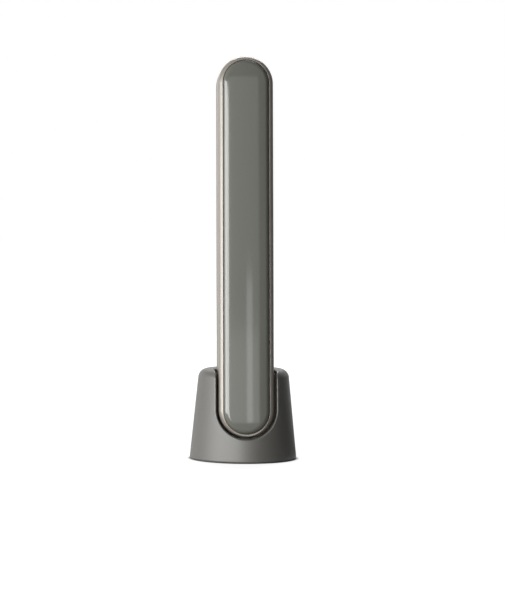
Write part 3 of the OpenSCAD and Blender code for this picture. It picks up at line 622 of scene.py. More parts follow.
def blendLoops(a, b, steps):
    # Straight steps from loop a to loop b.
    s = np.linspace(0, 1, steps)[:, None, None]
    return a[None] * (1 - s) + b[None] * s


def aimed(loop, centre, reach):
    # Points at a distance of reach from the centre, each towards its point of the loop.
    d = loop - centre
    return centre + d / np.linalg.norm(d, axis=1)[:, None] * reach


def blockLoop(block):
    # The points once round the border of a grid, from its first one along its first row.
    return np.concatenate([block[0, :-1], block[:-1, -1], block[-1, :0:-1], block[:0:-1, 0]])


def wayAlong(points):
    # Length of the line of points up to each of them.
    return np.concatenate([[0], np.cumsum(np.linalg.norm(np.diff(points, axis=0), axis=1))])


# casing of the wand, in mm: rimTail is how far behind the front the rim's side is straight,
# rimInset how far its back keeps inside its width; the steps count points along a line
wandSet = dict(length=207.0, halfWidth=15.0, front=-10.0, back=10.0, wall=1.6, split=1.0,
               splitGap=0.3, rimSide=2.4, rimEnd=2.1, rimFoot=1.5, rimRound=3.3, rimBevel=0.08,
               rimFlat=0.12, rimTopFlat=0.35, rimFootFlat=0.6, rimTail=5.0, rimInset=0.1,
               backRound=4.0, seamRound=0.15, lip=1.6, sideSteps=61, arcSteps=64, rimSteps=15,
               bevelSteps=6)

# glossy cover: gap to the rim, how far it stands out, shoulder radius, crown, wall, and the
# flange behind the rim with how far it is tucked in
coverSet = dict(gap=0.11, proud=2.2, shoulder=2.8, crown=0.5, wall=1.5, flange=1.2, tuck=0.1,
                faceSteps=26, shoulderSteps=20)


def buildCover(w, c):
    # Crowned face and shoulders as one section: an arc over the middle of radius
    # (half width squared plus crown squared) over twice the crown, then the shoulder's arc,
    # carried round the stadium down to the flange behind the rim's lip.
    openHalf = w.halfWidth - w.rimSide
    half = openHalf - c.gap
    flat = half - c.shoulder
    faceR = (flat ** 2 + c.crown ** 2) / (2 * c.crown)
    faceY = w.front - c.proud + faceR

    def section(depth, bottom):
        # The section so deep inside the skin, down to the height bottom.
        r = c.shoulder - depth
        shoulderY = faceY - math.sqrt((faceR - c.shoulder) ** 2 - flat ** 2)
        tip = math.asin(flat / (faceR - c.shoulder))
        a, b = np.linspace(0, tip, c.faceSteps), np.linspace(tip, math.pi / 2, c.shoulderSteps)[1:]
        return np.concatenate([
            toPoints((faceR - depth) * np.sin(a), faceY - (faceR - depth) * np.cos(a)),
            toPoints(flat + r * np.sin(b), shoulderY - r * np.cos(b)), [[half - depth, bottom]]])

    lipY = w.front + w.lip
    flangeY = lipY + c.flange
    profile = np.concatenate([section(0, lipY), toPoints(openHalf + c.tuck, [lipY, flangeY]),
                              section(c.wall, flangeY)[::-1]])
    grid = sweepStadium(profile, w.rimFoot + openHalf, w.length - w.rimEnd - openHalf,
                        stadiumPath(np.linspace(0, 1, w.sideSteps), w.arcSteps))
    makePiece("glossCover", [(grid, True, False)], "wand", "cover", "front_cover")


def buildRim(w):
    # Metal band: its outer points run on the casing's stadium and its inner ones on the
    # opening's. Its width is rimSide along the sides and falls to rimEnd or rimFoot with the
    # slope of the way. What the bevel and a narrow flat leave of it is one arc of radius
    # rimRound, which starts at the front and ends upright at the side.
    openHalf, inHalf, lipY = w.halfWidth - w.rimSide, w.halfWidth - w.wall, w.front + w.lip
    path = stadiumPath(np.linspace(0, 1, w.sideSteps), w.arcSteps)
    nx, nz, share = (v[:, None] for v in path)
    width = w.rimSide - (w.rimSide - np.where(nz > 0, w.rimEnd, w.rimFoot)) * np.abs(nz)
    r = w.rimRound
    flat = w.rimFlat + np.where(nz > 0, w.rimTopFlat, w.rimFootFlat) * nz ** 2
    first = np.arcsin((r + w.rimBevel + flat - width) / r)
    turn = first + np.linspace(0, 1, w.rimSteps)[None, :] * (math.pi / 2 - first)
    tail = roundCorners([(w.halfWidth, w.front + w.rimTail, 0), (w.halfWidth, w.split, w.seamRound),
                         (inHalf, w.split, 0)], 5)[1:]
    one = np.ones_like(width)
    out = np.concatenate([w.halfWidth - r + r * np.sin(turn), one * tail[None, :, 0],
                          np.maximum(inHalf, w.halfWidth - width + w.rimInset)], 1)
    across = np.concatenate([w.front + r * np.cos(first) - r * np.cos(turn),
                             one * tail[None, :, 1], one * lipY], 1)
    low, high = w.halfWidth, w.length - w.halfWidth
    outer = toPoints(nx * out, across, low + share * (high - low) + nz * out)
    turn = np.linspace(0, math.pi / 2, w.bevelSteps)
    bevel = np.concatenate([[[openHalf, lipY]], toPoints(
        openHalf + w.rimBevel - w.rimBevel * np.cos(turn),
        w.front + w.rimBevel - w.rimBevel * np.sin(turn))])
    inner = sweepStadium(bevel, w.rimFoot + openHalf, w.length - w.rimEnd - openHalf, path)
    grid = np.concatenate([outer, inner], 1)
    makePiece("metalRim", [(grid, True, True)], "wand", "rim", "rim_frame")


# openings of the back: height, half height of the straight part, half width, and for the
# window the recess and ledge; the tongue that enters the rim; lines that part the back into
# fields with the steps between them; the steps of the foot's arc that a contact hole takes
# up; section and places of the screw bosses (all mm)
backSet = dict(windowLow=118.0, windowHigh=192.0, windowHalf=10.7, recess=8.2, ledgeHalf=8.2,
               ledge=7.4, windowEdge=0.12, ledgeGap=0.05, power=90.2, powerHalf=4.6, mode=73.2,
               modeHalf=2.7, modeLong=6.1, lamp=60.2, lampHalf=1.25, lampEdge=0.2, flat=11.0,
               innerBack=8.4, edge=0.3, tongueGap=0.1, tongueTall=1.2, tongueWide=1.0,
               tongueDeep=1.6, lines=(52.0, 65.8, 81.5, 98.5, 104.5), steps=(9, 9, 13, 13, 4, 33),
               acrossSteps=25, contactX=4.6, contactY=5.5, contactR=1.55, contactReach=2.3,
               contactCells=8, contactSteps=((-1, 21, 28), (1, 34, 41)), tipRound=0.2,
               cornerSteps=14, ringSteps=6, edgeSteps=7, floorSteps=5, nearby=1e-6,
               boss=((0, 7.4), (0.8, 7.4), (0.8, 3.4), (2.2, 3.4), (2.2, 8.7), (0, 8.7)),
               bossAt=((-6.5, 12.2), (6.5, 12.2), (-8.2, 104.2), (8.2, 104.2)))


def holeLoop(outer, low, high, half):
    # Each point of the loop round a hole is drawn towards the hole's centre line until it
    # meets the hole's edge.
    return aimed(outer, toPoints(0.0, np.clip(outer[:, 1], low, high)), half)


def atY(loop, y):
    # Points x and z of a loop, lifted to the height y.
    return toPoints(loop[..., 0], y, loop[..., 1])


def buildCasing(w, b):
    # Back half of the casing. Its flat back is cut into fields across the wand; each field
    # with an opening is a ring of points between its border and the opening, whose edge is a
    # small arc, and the sides are a section carried round the stadium.
    low, high = w.halfWidth, w.length - w.halfWidth
    ends = [low, *b.lines, high]
    heights = np.unique(np.concatenate([np.linspace(*span) for span in
                                        zip(ends, ends[1:], b.steps)]).round(6))
    flat, inHalf, seam = b.flat, w.halfWidth - w.wall, w.split + w.splitGap
    tongue, innerRound = inHalf - b.tongueGap, w.backRound - w.wall
    tip, shelf = w.split - b.tongueTall, w.split + b.tongueDeep
    holeLow, arcTop = b.contactY - b.contactReach, w.back - w.backRound
    section = roundCorners([
        (flat, w.back, 0), (w.halfWidth, w.back, w.backRound), (w.halfWidth, holeLow, 0),
        (w.halfWidth, seam, w.seamRound), (tongue, seam, 0), (tongue, tip, b.tipRound),
        (tongue - b.tongueWide, tip, 0), (tongue - b.tongueWide, shelf, 0), (inHalf, shelf, 0),
        (inHalf, holeLow, 0), (inHalf, b.innerBack, innerRound), (flat, b.innerBack, 0)],
        b.cornerSteps)
    side = sweepStadium(section, low, high, stadiumPath((heights - low) / (high - low), w.arcSteps))
    gone = np.zeros((side.shape[0], side.shape[1] - 1), bool)
    grids = [(side, True, False, gone)]

    def footHeight(q, curve):
        # Height of the foot's skin over the point (x, across): the stadium's lower arc.
        half = flat + np.sqrt(curve ** 2 - np.maximum(q[..., 1] - arcTop, 0) ** 2)
        return low - np.sqrt(half ** 2 - q[..., 0] ** 2)

    # contact holes: the block of cells round each becomes a ring of points down to the hole
    firstFoot = 2 * len(heights) + w.arcSteps - 1
    outside, *_, inside = np.flatnonzero(np.abs(section[:, 1] - holeLow) < b.nearby)
    blocks = [(outside - b.contactCells, outside, w.backRound),
              (inside, inside + b.contactCells, innerRound)]
    for sign, r0, r1 in b.contactSteps:
        mouths = []
        for c0, c1, curve in blocks:
            block = side[firstFoot + r0:firstFoot + r1 + 1, c0:c1 + 1]
            gone[firstFoot + r0:firstFoot + r1, c0:c1] = True
            if mouths:
                block = block[:, ::-1]
            loop = blockLoop(block)
            centre = np.array([sign * b.contactX, b.contactY])
            ring = blendLoops(loop[:, :2], aimed(loop[:, :2], centre, b.contactR), b.ringSteps)
            p = np.concatenate([ring, footHeight(ring, curve)[..., None]], -1)
            p[0] = loop
            grids.append((p, False, True))
            mouths.append(p[-1])
        grids.append((np.stack(mouths), False, True))
    grids += [(turnProfile(np.array(b.boss), 32, x, z), True, False) for x, z in b.bossAt]
    across = np.linspace(-flat, flat, b.acrossSteps)

    def field(z0, z1):
        # Points of the back between two lines, row by row.
        inside = heights[(heights > z0 - b.nearby) & (heights < z1 + b.nearby)]
        return np.stack(np.meshgrid(across, inside), -1)

    arc = np.linspace(0, math.pi, w.arcSteps + 1)
    upper = heights[heights > b.lines[4] - b.nearby]
    windowBorder = np.concatenate([
        toPoints(across[:-1], b.lines[4]), toPoints(flat, upper[:-1]),
        toPoints(flat * np.cos(arc), high + flat * np.sin(arc))[:-1],
        toPoints(-flat, upper[:0:-1])])
    borders = [blockLoop(field(*b.lines[k:k + 2])) for k in range(3)]
    reach = b.modeLong - b.modeHalf
    fields = [
        (borders[0], b.lamp, b.lamp, b.lampHalf, b.lampEdge, []),
        (borders[1], b.mode - reach, b.mode + reach, b.modeHalf, b.edge, []),
        (borders[2], b.power, b.power, b.powerHalf, b.edge, []),
        (windowBorder, b.windowLow, b.windowHigh, b.windowHalf, b.windowEdge,
         [(b.windowHalf, b.recess), (b.ledgeHalf, b.recess), (b.ledgeHalf, b.ledge),
          (flat - b.ledgeGap, b.ledge)])]
    for loop, z0, z1, half, edge, steps in fields:
        rim = holeLoop(loop, z0, z1, half + edge)
        turn = np.linspace(0, math.pi / 2, b.edgeSteps)
        arcs = [atY(holeLoop(loop, z0, z1, half + edge - edge * math.sin(t)),
                    w.back - edge + edge * math.cos(t)) for t in turn]
        steps = [(half, w.back - edge), *steps]
        steps.append((steps[-1][0], b.innerBack))
        down = [atY(holeLoop(loop, z0, z1, r), y) for r, y in steps]
        last = holeLoop(loop, z0, z1, steps[-1][0])
        grids += [(atY(blendLoops(loop, rim, b.ringSteps), w.back), False, True),
                  (np.stack(arcs), False, True), (np.stack(down), False, True),
                  (atY(blendLoops(last, loop, b.floorSteps), b.innerBack), False, True)]
    turn = np.linspace(0, math.pi / 2, w.arcSteps // 2 + 1)
    lowest = heights[(heights > low + b.nearby) & (heights < b.lines[0] + b.nearby)]
    foot = np.concatenate([toPoints(flat * np.sin(turn), low - flat * np.cos(turn)),
                           toPoints(flat, lowest)])
    s = np.linspace(-1, 1, b.acrossSteps)[:, None]
    rows = toPoints(foot[None, :, 0] * s, foot[None, :, 1])
    for y in (w.back, b.innerBack):
        grids += [(atY(field(*b.lines[3:5]), y), False, False), (atY(rows, y), False, False)]
    makePiece("rearCasing", grids, "wand", "casing", "rear_shell", merge=0.002)


# cradle: a cone with rounded top and foot, cut by a leaning slot for the wand (mm, degrees);
# at the back its lines of cells run at the first heights of rows, at the front at the second,
# and the field round the inlet's opening takes up fieldHalf to each side; steps in pairs are
# those of the outer and the inner skin, uprightPoints the profile's that rise steadily
cradleSet = dict(radius=29.2, height=49.0, foot=0.3, draft=5.7, topRound=5.0, footRound=0.8,
                 wall=2.2, slotHalf=16.4, slotBack=11.4, slotCorner=5.4, slotFoot=15.0, edge=0.95,
                 columns=320, edgeSteps=11, wallSteps=4, skinSteps=(91, 41), ringSteps=8,
                 mouthSteps=6, footSteps=(14, 2), uprightPoints=110,
                 rows=((14.6, 4.6), (13.6, 4.1), (5.6, 2.6), (1.4, 1.4)), rowSteps=(3, 13, 9),
                 fieldHalf=16, levelHalf=18, easeFrom=9,
                 inletWide=4.77, inletHigh=1.93, inletZ=9.63, inletEdge=0.25,
                 postAt=23.36, postR=3.0, postBore=1.03, postLow=2.8, postHigh=9.8, postCap=1.0,
                 postBearings=(30, 150, 270))


def coneSide(c, z, depth):
    # Radius of the cone at height z, depth inside its skin.
    t = math.radians(c.draft)
    return c.radius - z * math.tan(t) - depth / math.cos(t)


def coneProfile(c, depth, lowRound=0.0001, footSteps=24, sideSteps=80, topSteps=60, flatSteps=40):
    # Half section from the foot over the rounded top to the axis, as closely spaced (r, z)
    # points, depth inside the skin: foot arc, straight side, top arc, flat top. Gives the
    # points and the way up to each.
    t = math.radians(c.draft)
    n0 = math.pi / 2 - t
    top, topR = c.height - depth, c.topRound - depth
    lowZ, highZ = c.foot + lowRound, top - topR
    lo = np.array([coneSide(c, lowZ, depth + lowRound), lowZ])
    hi = np.array([coneSide(c, highZ, depth + topR), highZ])
    a = np.linspace(-math.pi / 2, math.pi / 2 - n0, footSteps)
    footArc = lo + lowRound * toPoints(np.cos(a), np.sin(a))
    b = np.linspace(math.pi / 2 - n0, math.pi / 2, topSteps)
    topArc = hi + topR * toPoints(np.cos(b), np.sin(b))
    flat = toPoints(np.linspace(hi[0], 0, flatSteps)[1:], top)
    side = footArc[-1] + np.linspace(0, 1, sideSteps)[1:-1, None] * (topArc[0] - footArc[-1])
    points = np.concatenate([footArc, side, topArc, flat])
    return points, wayAlong(points)


def turned(profile, angle, s):
    # Point at bearing angle from the front and way s up the profile: x = r sin, y = -r cos.
    points, way = profile
    r, z = np.interp(s, way, points[:, 0]), np.interp(s, way, points[:, 1])
    return toPoints(r * np.sin(angle), -r * np.cos(angle), z)


def slotGap(c, p):
    # Distance of a point outside the slot's wall, negative inside: sideways it is the larger
    # of |x| and the way from the foot's centre, and the back corner is rounded.
    q = toWand(p)
    x, y, z = np.abs(q[..., 0]), q[..., 1], q[..., 2]
    across = np.where(z < c.slotFoot, np.hypot(x, z - c.slotFoot), x)
    u = across - (c.slotHalf - c.slotCorner)
    v = y - (c.slotBack - c.slotCorner)
    outside = np.hypot(np.maximum(u, 0), np.maximum(v, 0))
    return np.minimum(np.maximum(u, v), 0) + outside - c.slotCorner


def slotLoop(c, profile, level, count=12001, halvings=48):
    # Along each meridian of a turned skin, the way up at which the slot is level away, by halving.
    angle = np.linspace(-math.pi, math.pi, count)[:-1]
    lo, hi = np.zeros(count - 1), np.full(count - 1, profile[1][-1])
    for _ in range(halvings):
        mid = (lo + hi) / 2
        outside = slotGap(c, turned(profile, angle, mid)) > level
        lo, hi = np.where(outside, mid, lo), np.where(outside, hi, mid)
    return angle, lo, turned(profile, angle, lo)


def nearestOn(loop, points, chunk=64):
    # For each point the closest place on a dense loop: its bearing and way up.
    angle, s, p = loop
    pick = np.empty(len(points), int)
    for k in range(0, len(points), chunk):
        pick[k:k + chunk] = ((points[k:k + chunk, None] - p[None]) ** 2).sum(-1).argmin(1)
    i, j = (pick - 1) % len(p), (pick + 1) % len(p)
    run = p[j] - p[i]
    f = np.clip(((points - p[i]) * run).sum(-1) / (run * run).sum(-1), 0, 1)
    a0, a1 = np.unwrap(np.stack([angle[i], angle[j]]), axis=0)
    return a0 + f * (a1 - a0), s[i] + f * (s[j] - s[i])


def buildCradle(c):
    # The skin is laid out in bearing and way up: lines run from the slot's edge to evenly
    # spaced bearings at the foot. The slot's edge is an arc between the skin and the slot's
    # wall, and the inner skin is the same thing one wall further in.
    outer = coneProfile(c, 0, c.footRound)
    under, inner = coneProfile(c, c.edge), coneProfile(c, c.wall)
    count = c.columns
    sharp = slotLoop(c, outer, 0)[2]
    way = wayAlong(sharp)
    at = np.linspace(0, way[-1] + np.linalg.norm(sharp[0] - sharp[-1]), count, endpoint=False)
    edge = toPoints(*(np.interp(at, way, sharp[:, i]) for i in range(3)))
    foot = np.linspace(-math.pi, math.pi, count, endpoint=False)
    skin = nearestOn(slotLoop(c, outer, c.edge), edge)
    wall = nearestOn(slotLoop(c, under, 0), edge)
    core = nearestOn(slotLoop(c, inner, 0), edge)
    onSkin, onWall, onCore = turned(outer, *skin), turned(under, *wall), turned(inner, *core)
    t = np.linspace(0, 1, c.edgeSteps)[:, None, None]
    w0, w1, w2 = (1 - t) ** 2, 2 * t * (1 - t) * math.sqrt(0.5), t ** 2
    grids = [((w0 * onSkin + w1 * edge + w2 * onWall) / (w0 + w1 + w2), False, True),
             (blendLoops(onWall, onCore, c.wallSteps), False, True)]
    back = np.cos((foot - math.pi) / 2) ** 2      # 1 at the back, 0 at the front
    ease = np.clip(back / math.cos(math.radians(c.easeFrom)) ** 2, 0, 1)
    ease = ease * ease * (3 - 2 * ease)
    away = np.abs((foot % (2 * math.pi)) - math.pi)
    inField = away <= math.radians(c.fieldHalf) + 1e-9
    ease = np.where(away < math.radians(c.levelHalf), 1, ease)
    # the field with the inlet's opening lies at both ends of the bearings' row
    order = np.roll(np.arange(count), -np.flatnonzero(~inField)[0])
    keep = order[:count - inField.sum()]
    left, right = (keep[0] - 1) % count, (keep[-1] + 1) % count
    cols = np.arange(right, left + count + 1) % count
    wide = c.inletWide - c.inletHigh

    for profile, depth, (startA, startS), steps, lowSteps in zip(
            (outer, inner), (0, c.wall), (skin, core), c.skinSteps, c.footSteps):
        heights, way = profile[0][:c.uprightPoints, 1], profile[1][:c.uprightPoints]
        levels = [np.interp(low + (high - low) * ease, heights, way) for high, low in c.rows]
        u = np.linspace(0, 1, steps)[:, None]
        startA = foot + ((startA - foot + math.pi) % (2 * math.pi) - math.pi)
        grids.append((turned(profile, startA + u * (foot - startA),
                             startS + u * (levels[0] - startS)), False, True))
        for k, rows in enumerate(c.rowSteps):
            p = turned(profile, foot, levels[k] + np.linspace(0, 1, rows)[:, None]
                       * (levels[k + 1] - levels[k]))
            if k != 1:
                grids.append((p, False, True))
                continue
            grids.append((p[:, [left, *keep, right]], False, False))
            loop = blockLoop(p[:, cols])
            flat = loop[:, [0, 2]]

            def pill(grow):
                # The inlet's opening, grown by that much, in x and z.
                near = toPoints(np.clip(flat[:, 0], -wide, wide), c.inletZ)
                return aimed(flat, near, c.inletHigh + grow)

            def raised(q, sink):
                # Points x and z put on the back of the skin, sunk in by that much.
                r = coneSide(c, q[..., 1], depth + sink)
                return toPoints(q[..., 0], np.sqrt(r * r - q[..., 0] ** 2), q[..., 1])

            grow = 0 if depth else c.inletEdge
            grids.append((raised(blendLoops(flat, pill(grow), c.ringSteps), 0), False, True))
            if depth:
                grids.append((np.stack([mouth, raised(pill(0), 0)]), False, True))
            else:
                arcs = [raised(pill(grow * (1 - math.sin(t))), grow * (1 - math.cos(t)))
                        for t in np.linspace(0, math.pi / 2, c.mouthSteps)]
                grids.append((np.stack(arcs), False, True))
                mouth = raised(pill(0), grow)
        low = turned(profile, foot, levels[3] * np.linspace(1, 0, lowSteps)[:, None])
        grids.append((low, False, True))
        if depth:
            grids.append((np.stack([footRing, low[-1]]), False, True))
        footRing = low[-1]
    cap = c.postHigh - c.postCap
    tube = np.array([(0, cap), (c.postBore, cap), (c.postBore, c.postLow), (c.postR, c.postLow),
                     (c.postR, c.postHigh), (0, c.postHigh)])
    for a in np.radians(c.postBearings):
        p = turnProfile(tube, 32, math.cos(a) * c.postAt, math.sin(a) * c.postAt)
        grids.append((upright(p), True, False))
    makePiece("cradleShell", grids, "cradle", "cradle", "cradle_shell", merge=0.002, sharp=50)


buildCover(named(wandSet), named(coverSet))
buildRim(named(wandSet))
buildCasing(named(wandSet), named(backSet))
buildCradle(named(cradleSet))
print("shells built")

# light field on the back: ring and window, in mm
fieldSet = dict(low=118.0, high=192.0, ringIn=9.5, ringOut=10.6, recess=8.2, ringTop=10.3,
                ringRound=0.38, windowHalf=9.4, windowLow=8.6, windowTop=10.1, windowRound=0.3,
                footRound=0.1, lines=(2.5, 5, 7.5), borderFrom=7.9, borderTo=8.1,
                sideSteps=31, arcSteps=72)


def wandPoints(piece):
    # The piece's points in mm in the wand's frame.
    return toWand(readAll(piece.data.vertices, "co", float, 3) * 1000)


def buildField(f):
    # Ring: a closed section with round upper edges. Window: a section from its centre line to
    # its rounded edge. Both are carried round the field's stadium.
    path = stadiumPath(np.linspace(0, 1, f.sideSteps), f.arcSteps)
    mid = (f.ringIn + f.ringOut) / 2
    ring = roundCorners([(mid, f.ringTop, 0), (f.ringOut, f.ringTop, f.ringRound),
                         (f.ringOut, f.recess, f.footRound), (f.ringIn, f.recess, f.footRound),
                         (f.ringIn, f.ringTop, f.ringRound), (mid, f.ringTop, 0)], 8)
    makePiece("treatmentRing", [(sweepStadium(ring, f.low, f.high, path), True, True)],
              "wand", "treatment_metal", "treatment_ring")
    steps = [0, *f.lines, f.borderFrom, f.borderTo]
    pane = roundCorners([*((x, f.windowTop, 0) for x in steps),
                         (f.windowHalf, f.windowTop, f.windowRound),
                         (f.windowHalf, f.windowLow, f.footRound),
                         *((x, f.windowLow, 0) for x in steps[::-1])], 6)
    window = makePiece("lightWindow", [(sweepStadium(pane, f.low, f.high, path), True, False)],
                       "wand", "window", "led_window")
    q = wandPoints(window)
    out = np.hypot(q[:, 0], q[:, 2] - np.clip(q[:, 2], f.low, f.high))
    mark = np.clip((out - f.borderFrom) / (f.borderTo - f.borderFrom), 0, 1)
    setMark(window.data, "border", mark)


# diodes: square body, round lens in a moat, rows over the field (mm); the dome's points are
# shares of the lens's radius and depths under its top
diodeSet = dict(low=118.0, high=192.0, rows=10, column=5.2, size=2.8, base=5.2, tall=1.4, lens=1.05,
                edgeDown=0.42, edgeIn=0.1, rimDown=0.3, moat=0.14, moatIn=0.04, square=8, circle=2,
                dome=((1, 0.4), (0.97, 0.26), (0.86, 0.14), (0.62, 0.05), (0.3, 0.01), (0, 0)),
                turnSteps=32, markOut=0.02, markDown=0.45)


def diodeShape(d):
    # Ring by ring from the body's foot to the top of its lens, each (radius, height, power): a
    # ring is a superellipse whose power falls from 8, nearly square, to 2, a circle.
    half, top = d.size / 2, d.base + d.tall
    rings = np.array([
        (0, d.base, d.square), (half, d.base, d.square), (half, top - d.edgeDown, d.square),
        (half - d.edgeIn, top - d.rimDown, d.square), (d.lens + d.moat, top - d.rimDown, d.circle),
        (d.lens + d.moatIn, top - d.dome[0][1], d.circle),
        *((d.lens * share, top - down, d.circle) for share, down in d.dome)])
    a = np.linspace(0, 2 * math.pi, d.turnSteps, endpoint=False)[:, None]
    r, h, power = rings.T[:, None, :]
    x, z = (r * np.sign(v) * np.abs(v) ** (2 / power) for v in (np.cos(a), np.sin(a)))
    return toPoints(x, h, z)


def buildDiodes(d):
    # Two columns of red diodes with a column of infrared ones between their rows.
    shape = diodeShape(d)
    pitch = (d.high - d.low) / (d.rows - 1)
    red = [(s * d.column, d.low + k * pitch) for k in range(d.rows) for s in (-1, 1)]
    infra = [(0, d.low + (k + 0.5) * pitch) for k in range(d.rows - 1)]
    for kind, spots in (("red", red), ("infrared", infra)):
        grids = [(shape + np.array([x, 0, z]), True, False) for x, z in spots]
        piece = makePiece(kind + "Diodes", grids, "wand", kind + "_diode", kind + "_leds")
        # lens marker by height over the board, for the material
        q = wandPoints(piece)
        near = np.abs(q[:, None, [0, 2]] - np.array(spots)[None]).max(-1).min(1)
        mark = (near < d.lens + d.markOut) & (q[:, 1] > d.base + d.tall - d.markDown)
        setMark(piece.data, "lens", mark.astype(float))


# keys and lamp on the back
keySet = dict(top=10.25, power=90.2, powerR=4.5, mode=73.2, modeHalf=2.6, modeLong=6.0,
              flangeLow=7.75, flangeTall=0.6, flange=0.9, flangeRound=0.1, stemLow=7.05, stemR=1.6,
              stemRound=0.15, stemIn=0.2, edge=0.28, dish=26.0, dishDepth=0.3, hollowHalf=1.9,
              hollowDepth=0.2, hollowRim=2.0, lamp=60.2, lampR=1.2, lampLow=5.9, lampTop=10.0,
              lampRound=0.35, lampCrown=0.05, lampFlange=0.6, lampFlangeLow=7.6,
              lampFlangeTop=8.38, powerSteps=96, turnSteps=48, sideSteps=7, dishSteps=15,
              hollowSteps=10)


def buildKeys(k):
    # Power key: stem, flange, rounded rim and a dish cut by a sphere, turned round its axis.
    # Mode key: the same kind of section carried round a short stadium, on a turned stem. Lamp:
    # a turned pin with a flange.
    fl, ft = k.flangeLow, k.flangeLow + k.flangeTall

    def head(half, inner):
        # Corners from the flange's foot over the rim to where the hollow starts.
        return [(half + k.flange, fl, k.flangeRound), (half + k.flange, ft, k.flangeRound),
                (half, ft, 0), (half, k.top, k.edge), (inner, k.top, 0)]

    stemFoot = [(0, k.stemLow, 0), (k.stemR, k.stemLow, k.stemRound)]
    rimR = math.sqrt(k.dish ** 2 - (k.dish - k.dishDepth) ** 2)
    r = np.linspace(rimR, 0, k.dishSteps)[1:]
    dish = toPoints(r, k.top + k.dish - k.dishDepth - np.sqrt(k.dish ** 2 - r ** 2))
    rim = roundCorners([*stemFoot, (k.stemR, fl, 0), *head(k.powerR, rimR)], 5)
    key = turnProfile(np.concatenate([rim, dish]), k.powerSteps, 0, k.power)
    makePiece("powerKey", [(key, True, False)], "power_key", "button", "power_button",
              keyFinish("powerKeySatin", "power", named(signSet)))
    x = np.linspace(k.hollowHalf, 0, k.hollowSteps)
    hollow = toPoints(x, k.top - k.hollowDepth * np.cos(x / k.hollowHalf * math.pi / 2) ** 2)
    rim = roundCorners([(0, fl, 0), *head(k.modeHalf, k.hollowRim)], 5)
    reach = k.modeLong - k.modeHalf
    key = sweepStadium(np.concatenate([rim, hollow]), k.mode - reach, k.mode + reach,
                       stadiumPath(np.linspace(0, 1, k.sideSteps), k.turnSteps))
    stem = roundCorners([*stemFoot, (k.stemR, fl + k.stemIn, 0), (0, fl + k.stemIn, 0)], 4)
    stem = turnProfile(stem, k.turnSteps, 0, k.mode)
    makePiece("modeKey", [(key, True, False), (stem, True, False)], "mode_key", "button",
              "mode_button", keyFinish("modeKeySatin", "mode", named(signSet)))
    wide = k.lampR + k.lampFlange
    lamp = roundCorners([(0, k.lampLow, 0), (k.lampR, k.lampLow, k.flangeRound),
                         (k.lampR, k.lampFlangeLow, 0), (wide, k.lampFlangeLow, 0),
                         (wide, k.lampFlangeTop, 0), (k.lampR, k.lampFlangeTop, 0),
                         (k.lampR, k.lampTop - k.lampCrown, k.lampRound), (0, k.lampTop, 0)], 6)
    lamp = turnProfile(lamp, k.turnSteps, 0, k.lamp)
    makePiece("statusLamp", [(lamp, True, False)], "wand", "light_pipe", "indicator_lens")


# rubber foot: pad with one round groove underneath
footSet = dict(radius=25.96, tall=0.8, edge=0.25, grooveIn=19.0, grooveOut=20.2, grooveDeep=0.3,
               grooveRound=0.1, turnSteps=128)


def buildFoot(f):
    # Pad turned round the upright axis: rounded lower edge and the groove.
    groove = [(f.grooveIn, 0), (f.grooveIn, f.grooveDeep), (f.grooveOut, f.grooveDeep),
              (f.grooveOut, 0)]
    section = roundCorners([(0, 0, 0), *((r, z, f.grooveRound) for r, z in groove),
                            (f.radius, 0, f.edge), (f.radius, f.tall, 0), (0, f.tall, 0)], 5)
    pad = upright(turnProfile(section, f.turnSteps))
    makePiece("footPad", [(pad, True, False)], "cradle", "foot_rubber", "foot_pad")


# gold strips on the inlet's tongue
inletSet = dict(count=12, pitch=0.5, wide=0.28, backY=21.4, frontY=25.35, z=9.63, half=0.35,
                thick=0.03, sink=0.02)


def buildInletContacts(c):
    # Flat strips side by side above and below the tongue, each an eight-cornered bar, whose
    # end faces are rings drawn together in their middle.
    grids = []
    for sign in (-1, 1):
        z0, z1 = c.z + sign * (c.half - c.sink), c.z + sign * (c.half + c.thick)
        x, z = np.array([-1, 1, 1, -1]) * c.wide / 2, np.array([z0, z0, z1, z1])
        for middle in (np.arange(c.count) - (c.count - 1) / 2) * c.pitch:
            loops = [toPoints(middle + x * k, y, z0 + (z - z0) * k + (1 - k) * (z1 - z0) / 2)
                     for y, k in ((c.backY, 0), (c.backY, 1), (c.frontY, 1), (c.frontY, 0))]
            grids.append((np.stack(loops), False, True))
    makePiece("inletContacts", grids, "cradle", "gold_contact", merge=0.0005)


buildField(named(fieldSet))
buildDiodes(named(diodeSet))
buildKeys(named(keySet))
buildFoot(named(footSet))
buildInletContacts(named(inletSet))
print("field, diodes, keys and foot built")


# floor, sky and card: lengths in m, bearings from the front in degrees
# the two foot radii mark where the floor's glow rises from nothing to full: a painted contact
# shadow round the cradle's foot
studioSet = dict(floorSize=8.0, floorShade=0.4, nearGlow=0.8, farGlow=1.0, glowFrom=0.25,
                 glowTo=1.1, footFrom=0.0285, footTo=0.0312, floorMirror=0.45, skyFill=0.06,
                 skyTint=(0.97, 0.985, 1, 1), cardFrom=14, cardTo=205, cardRadius=1.25,
                 cardTall=1.3, cardShade=0.012, backShade=0.85, fadeFrom=100, fadeTo=145,
                 roofRadius=3.2, roofAt=1.32, roofShade=0.22, apronFrom=0.045, apronTo=135,
                 apronAt=0.0004, cardSteps=61, apronSteps=41, roofSteps=49)


def seenDirectly(tree, mirrored=1.0):
    # 1 for camera and transmission rays, mirrored for glossy ones, else 0.
    rays = addNode(tree, "LightPath").outputs
    glossy = calc(tree, "MULTIPLY", rays["Is Glossy Ray"], mirrored)
    return calc(tree, "MAXIMUM", calc(tree, "MAXIMUM", rays["Is Camera Ray"], glossy),
                rays["Is Transmission Ray"])


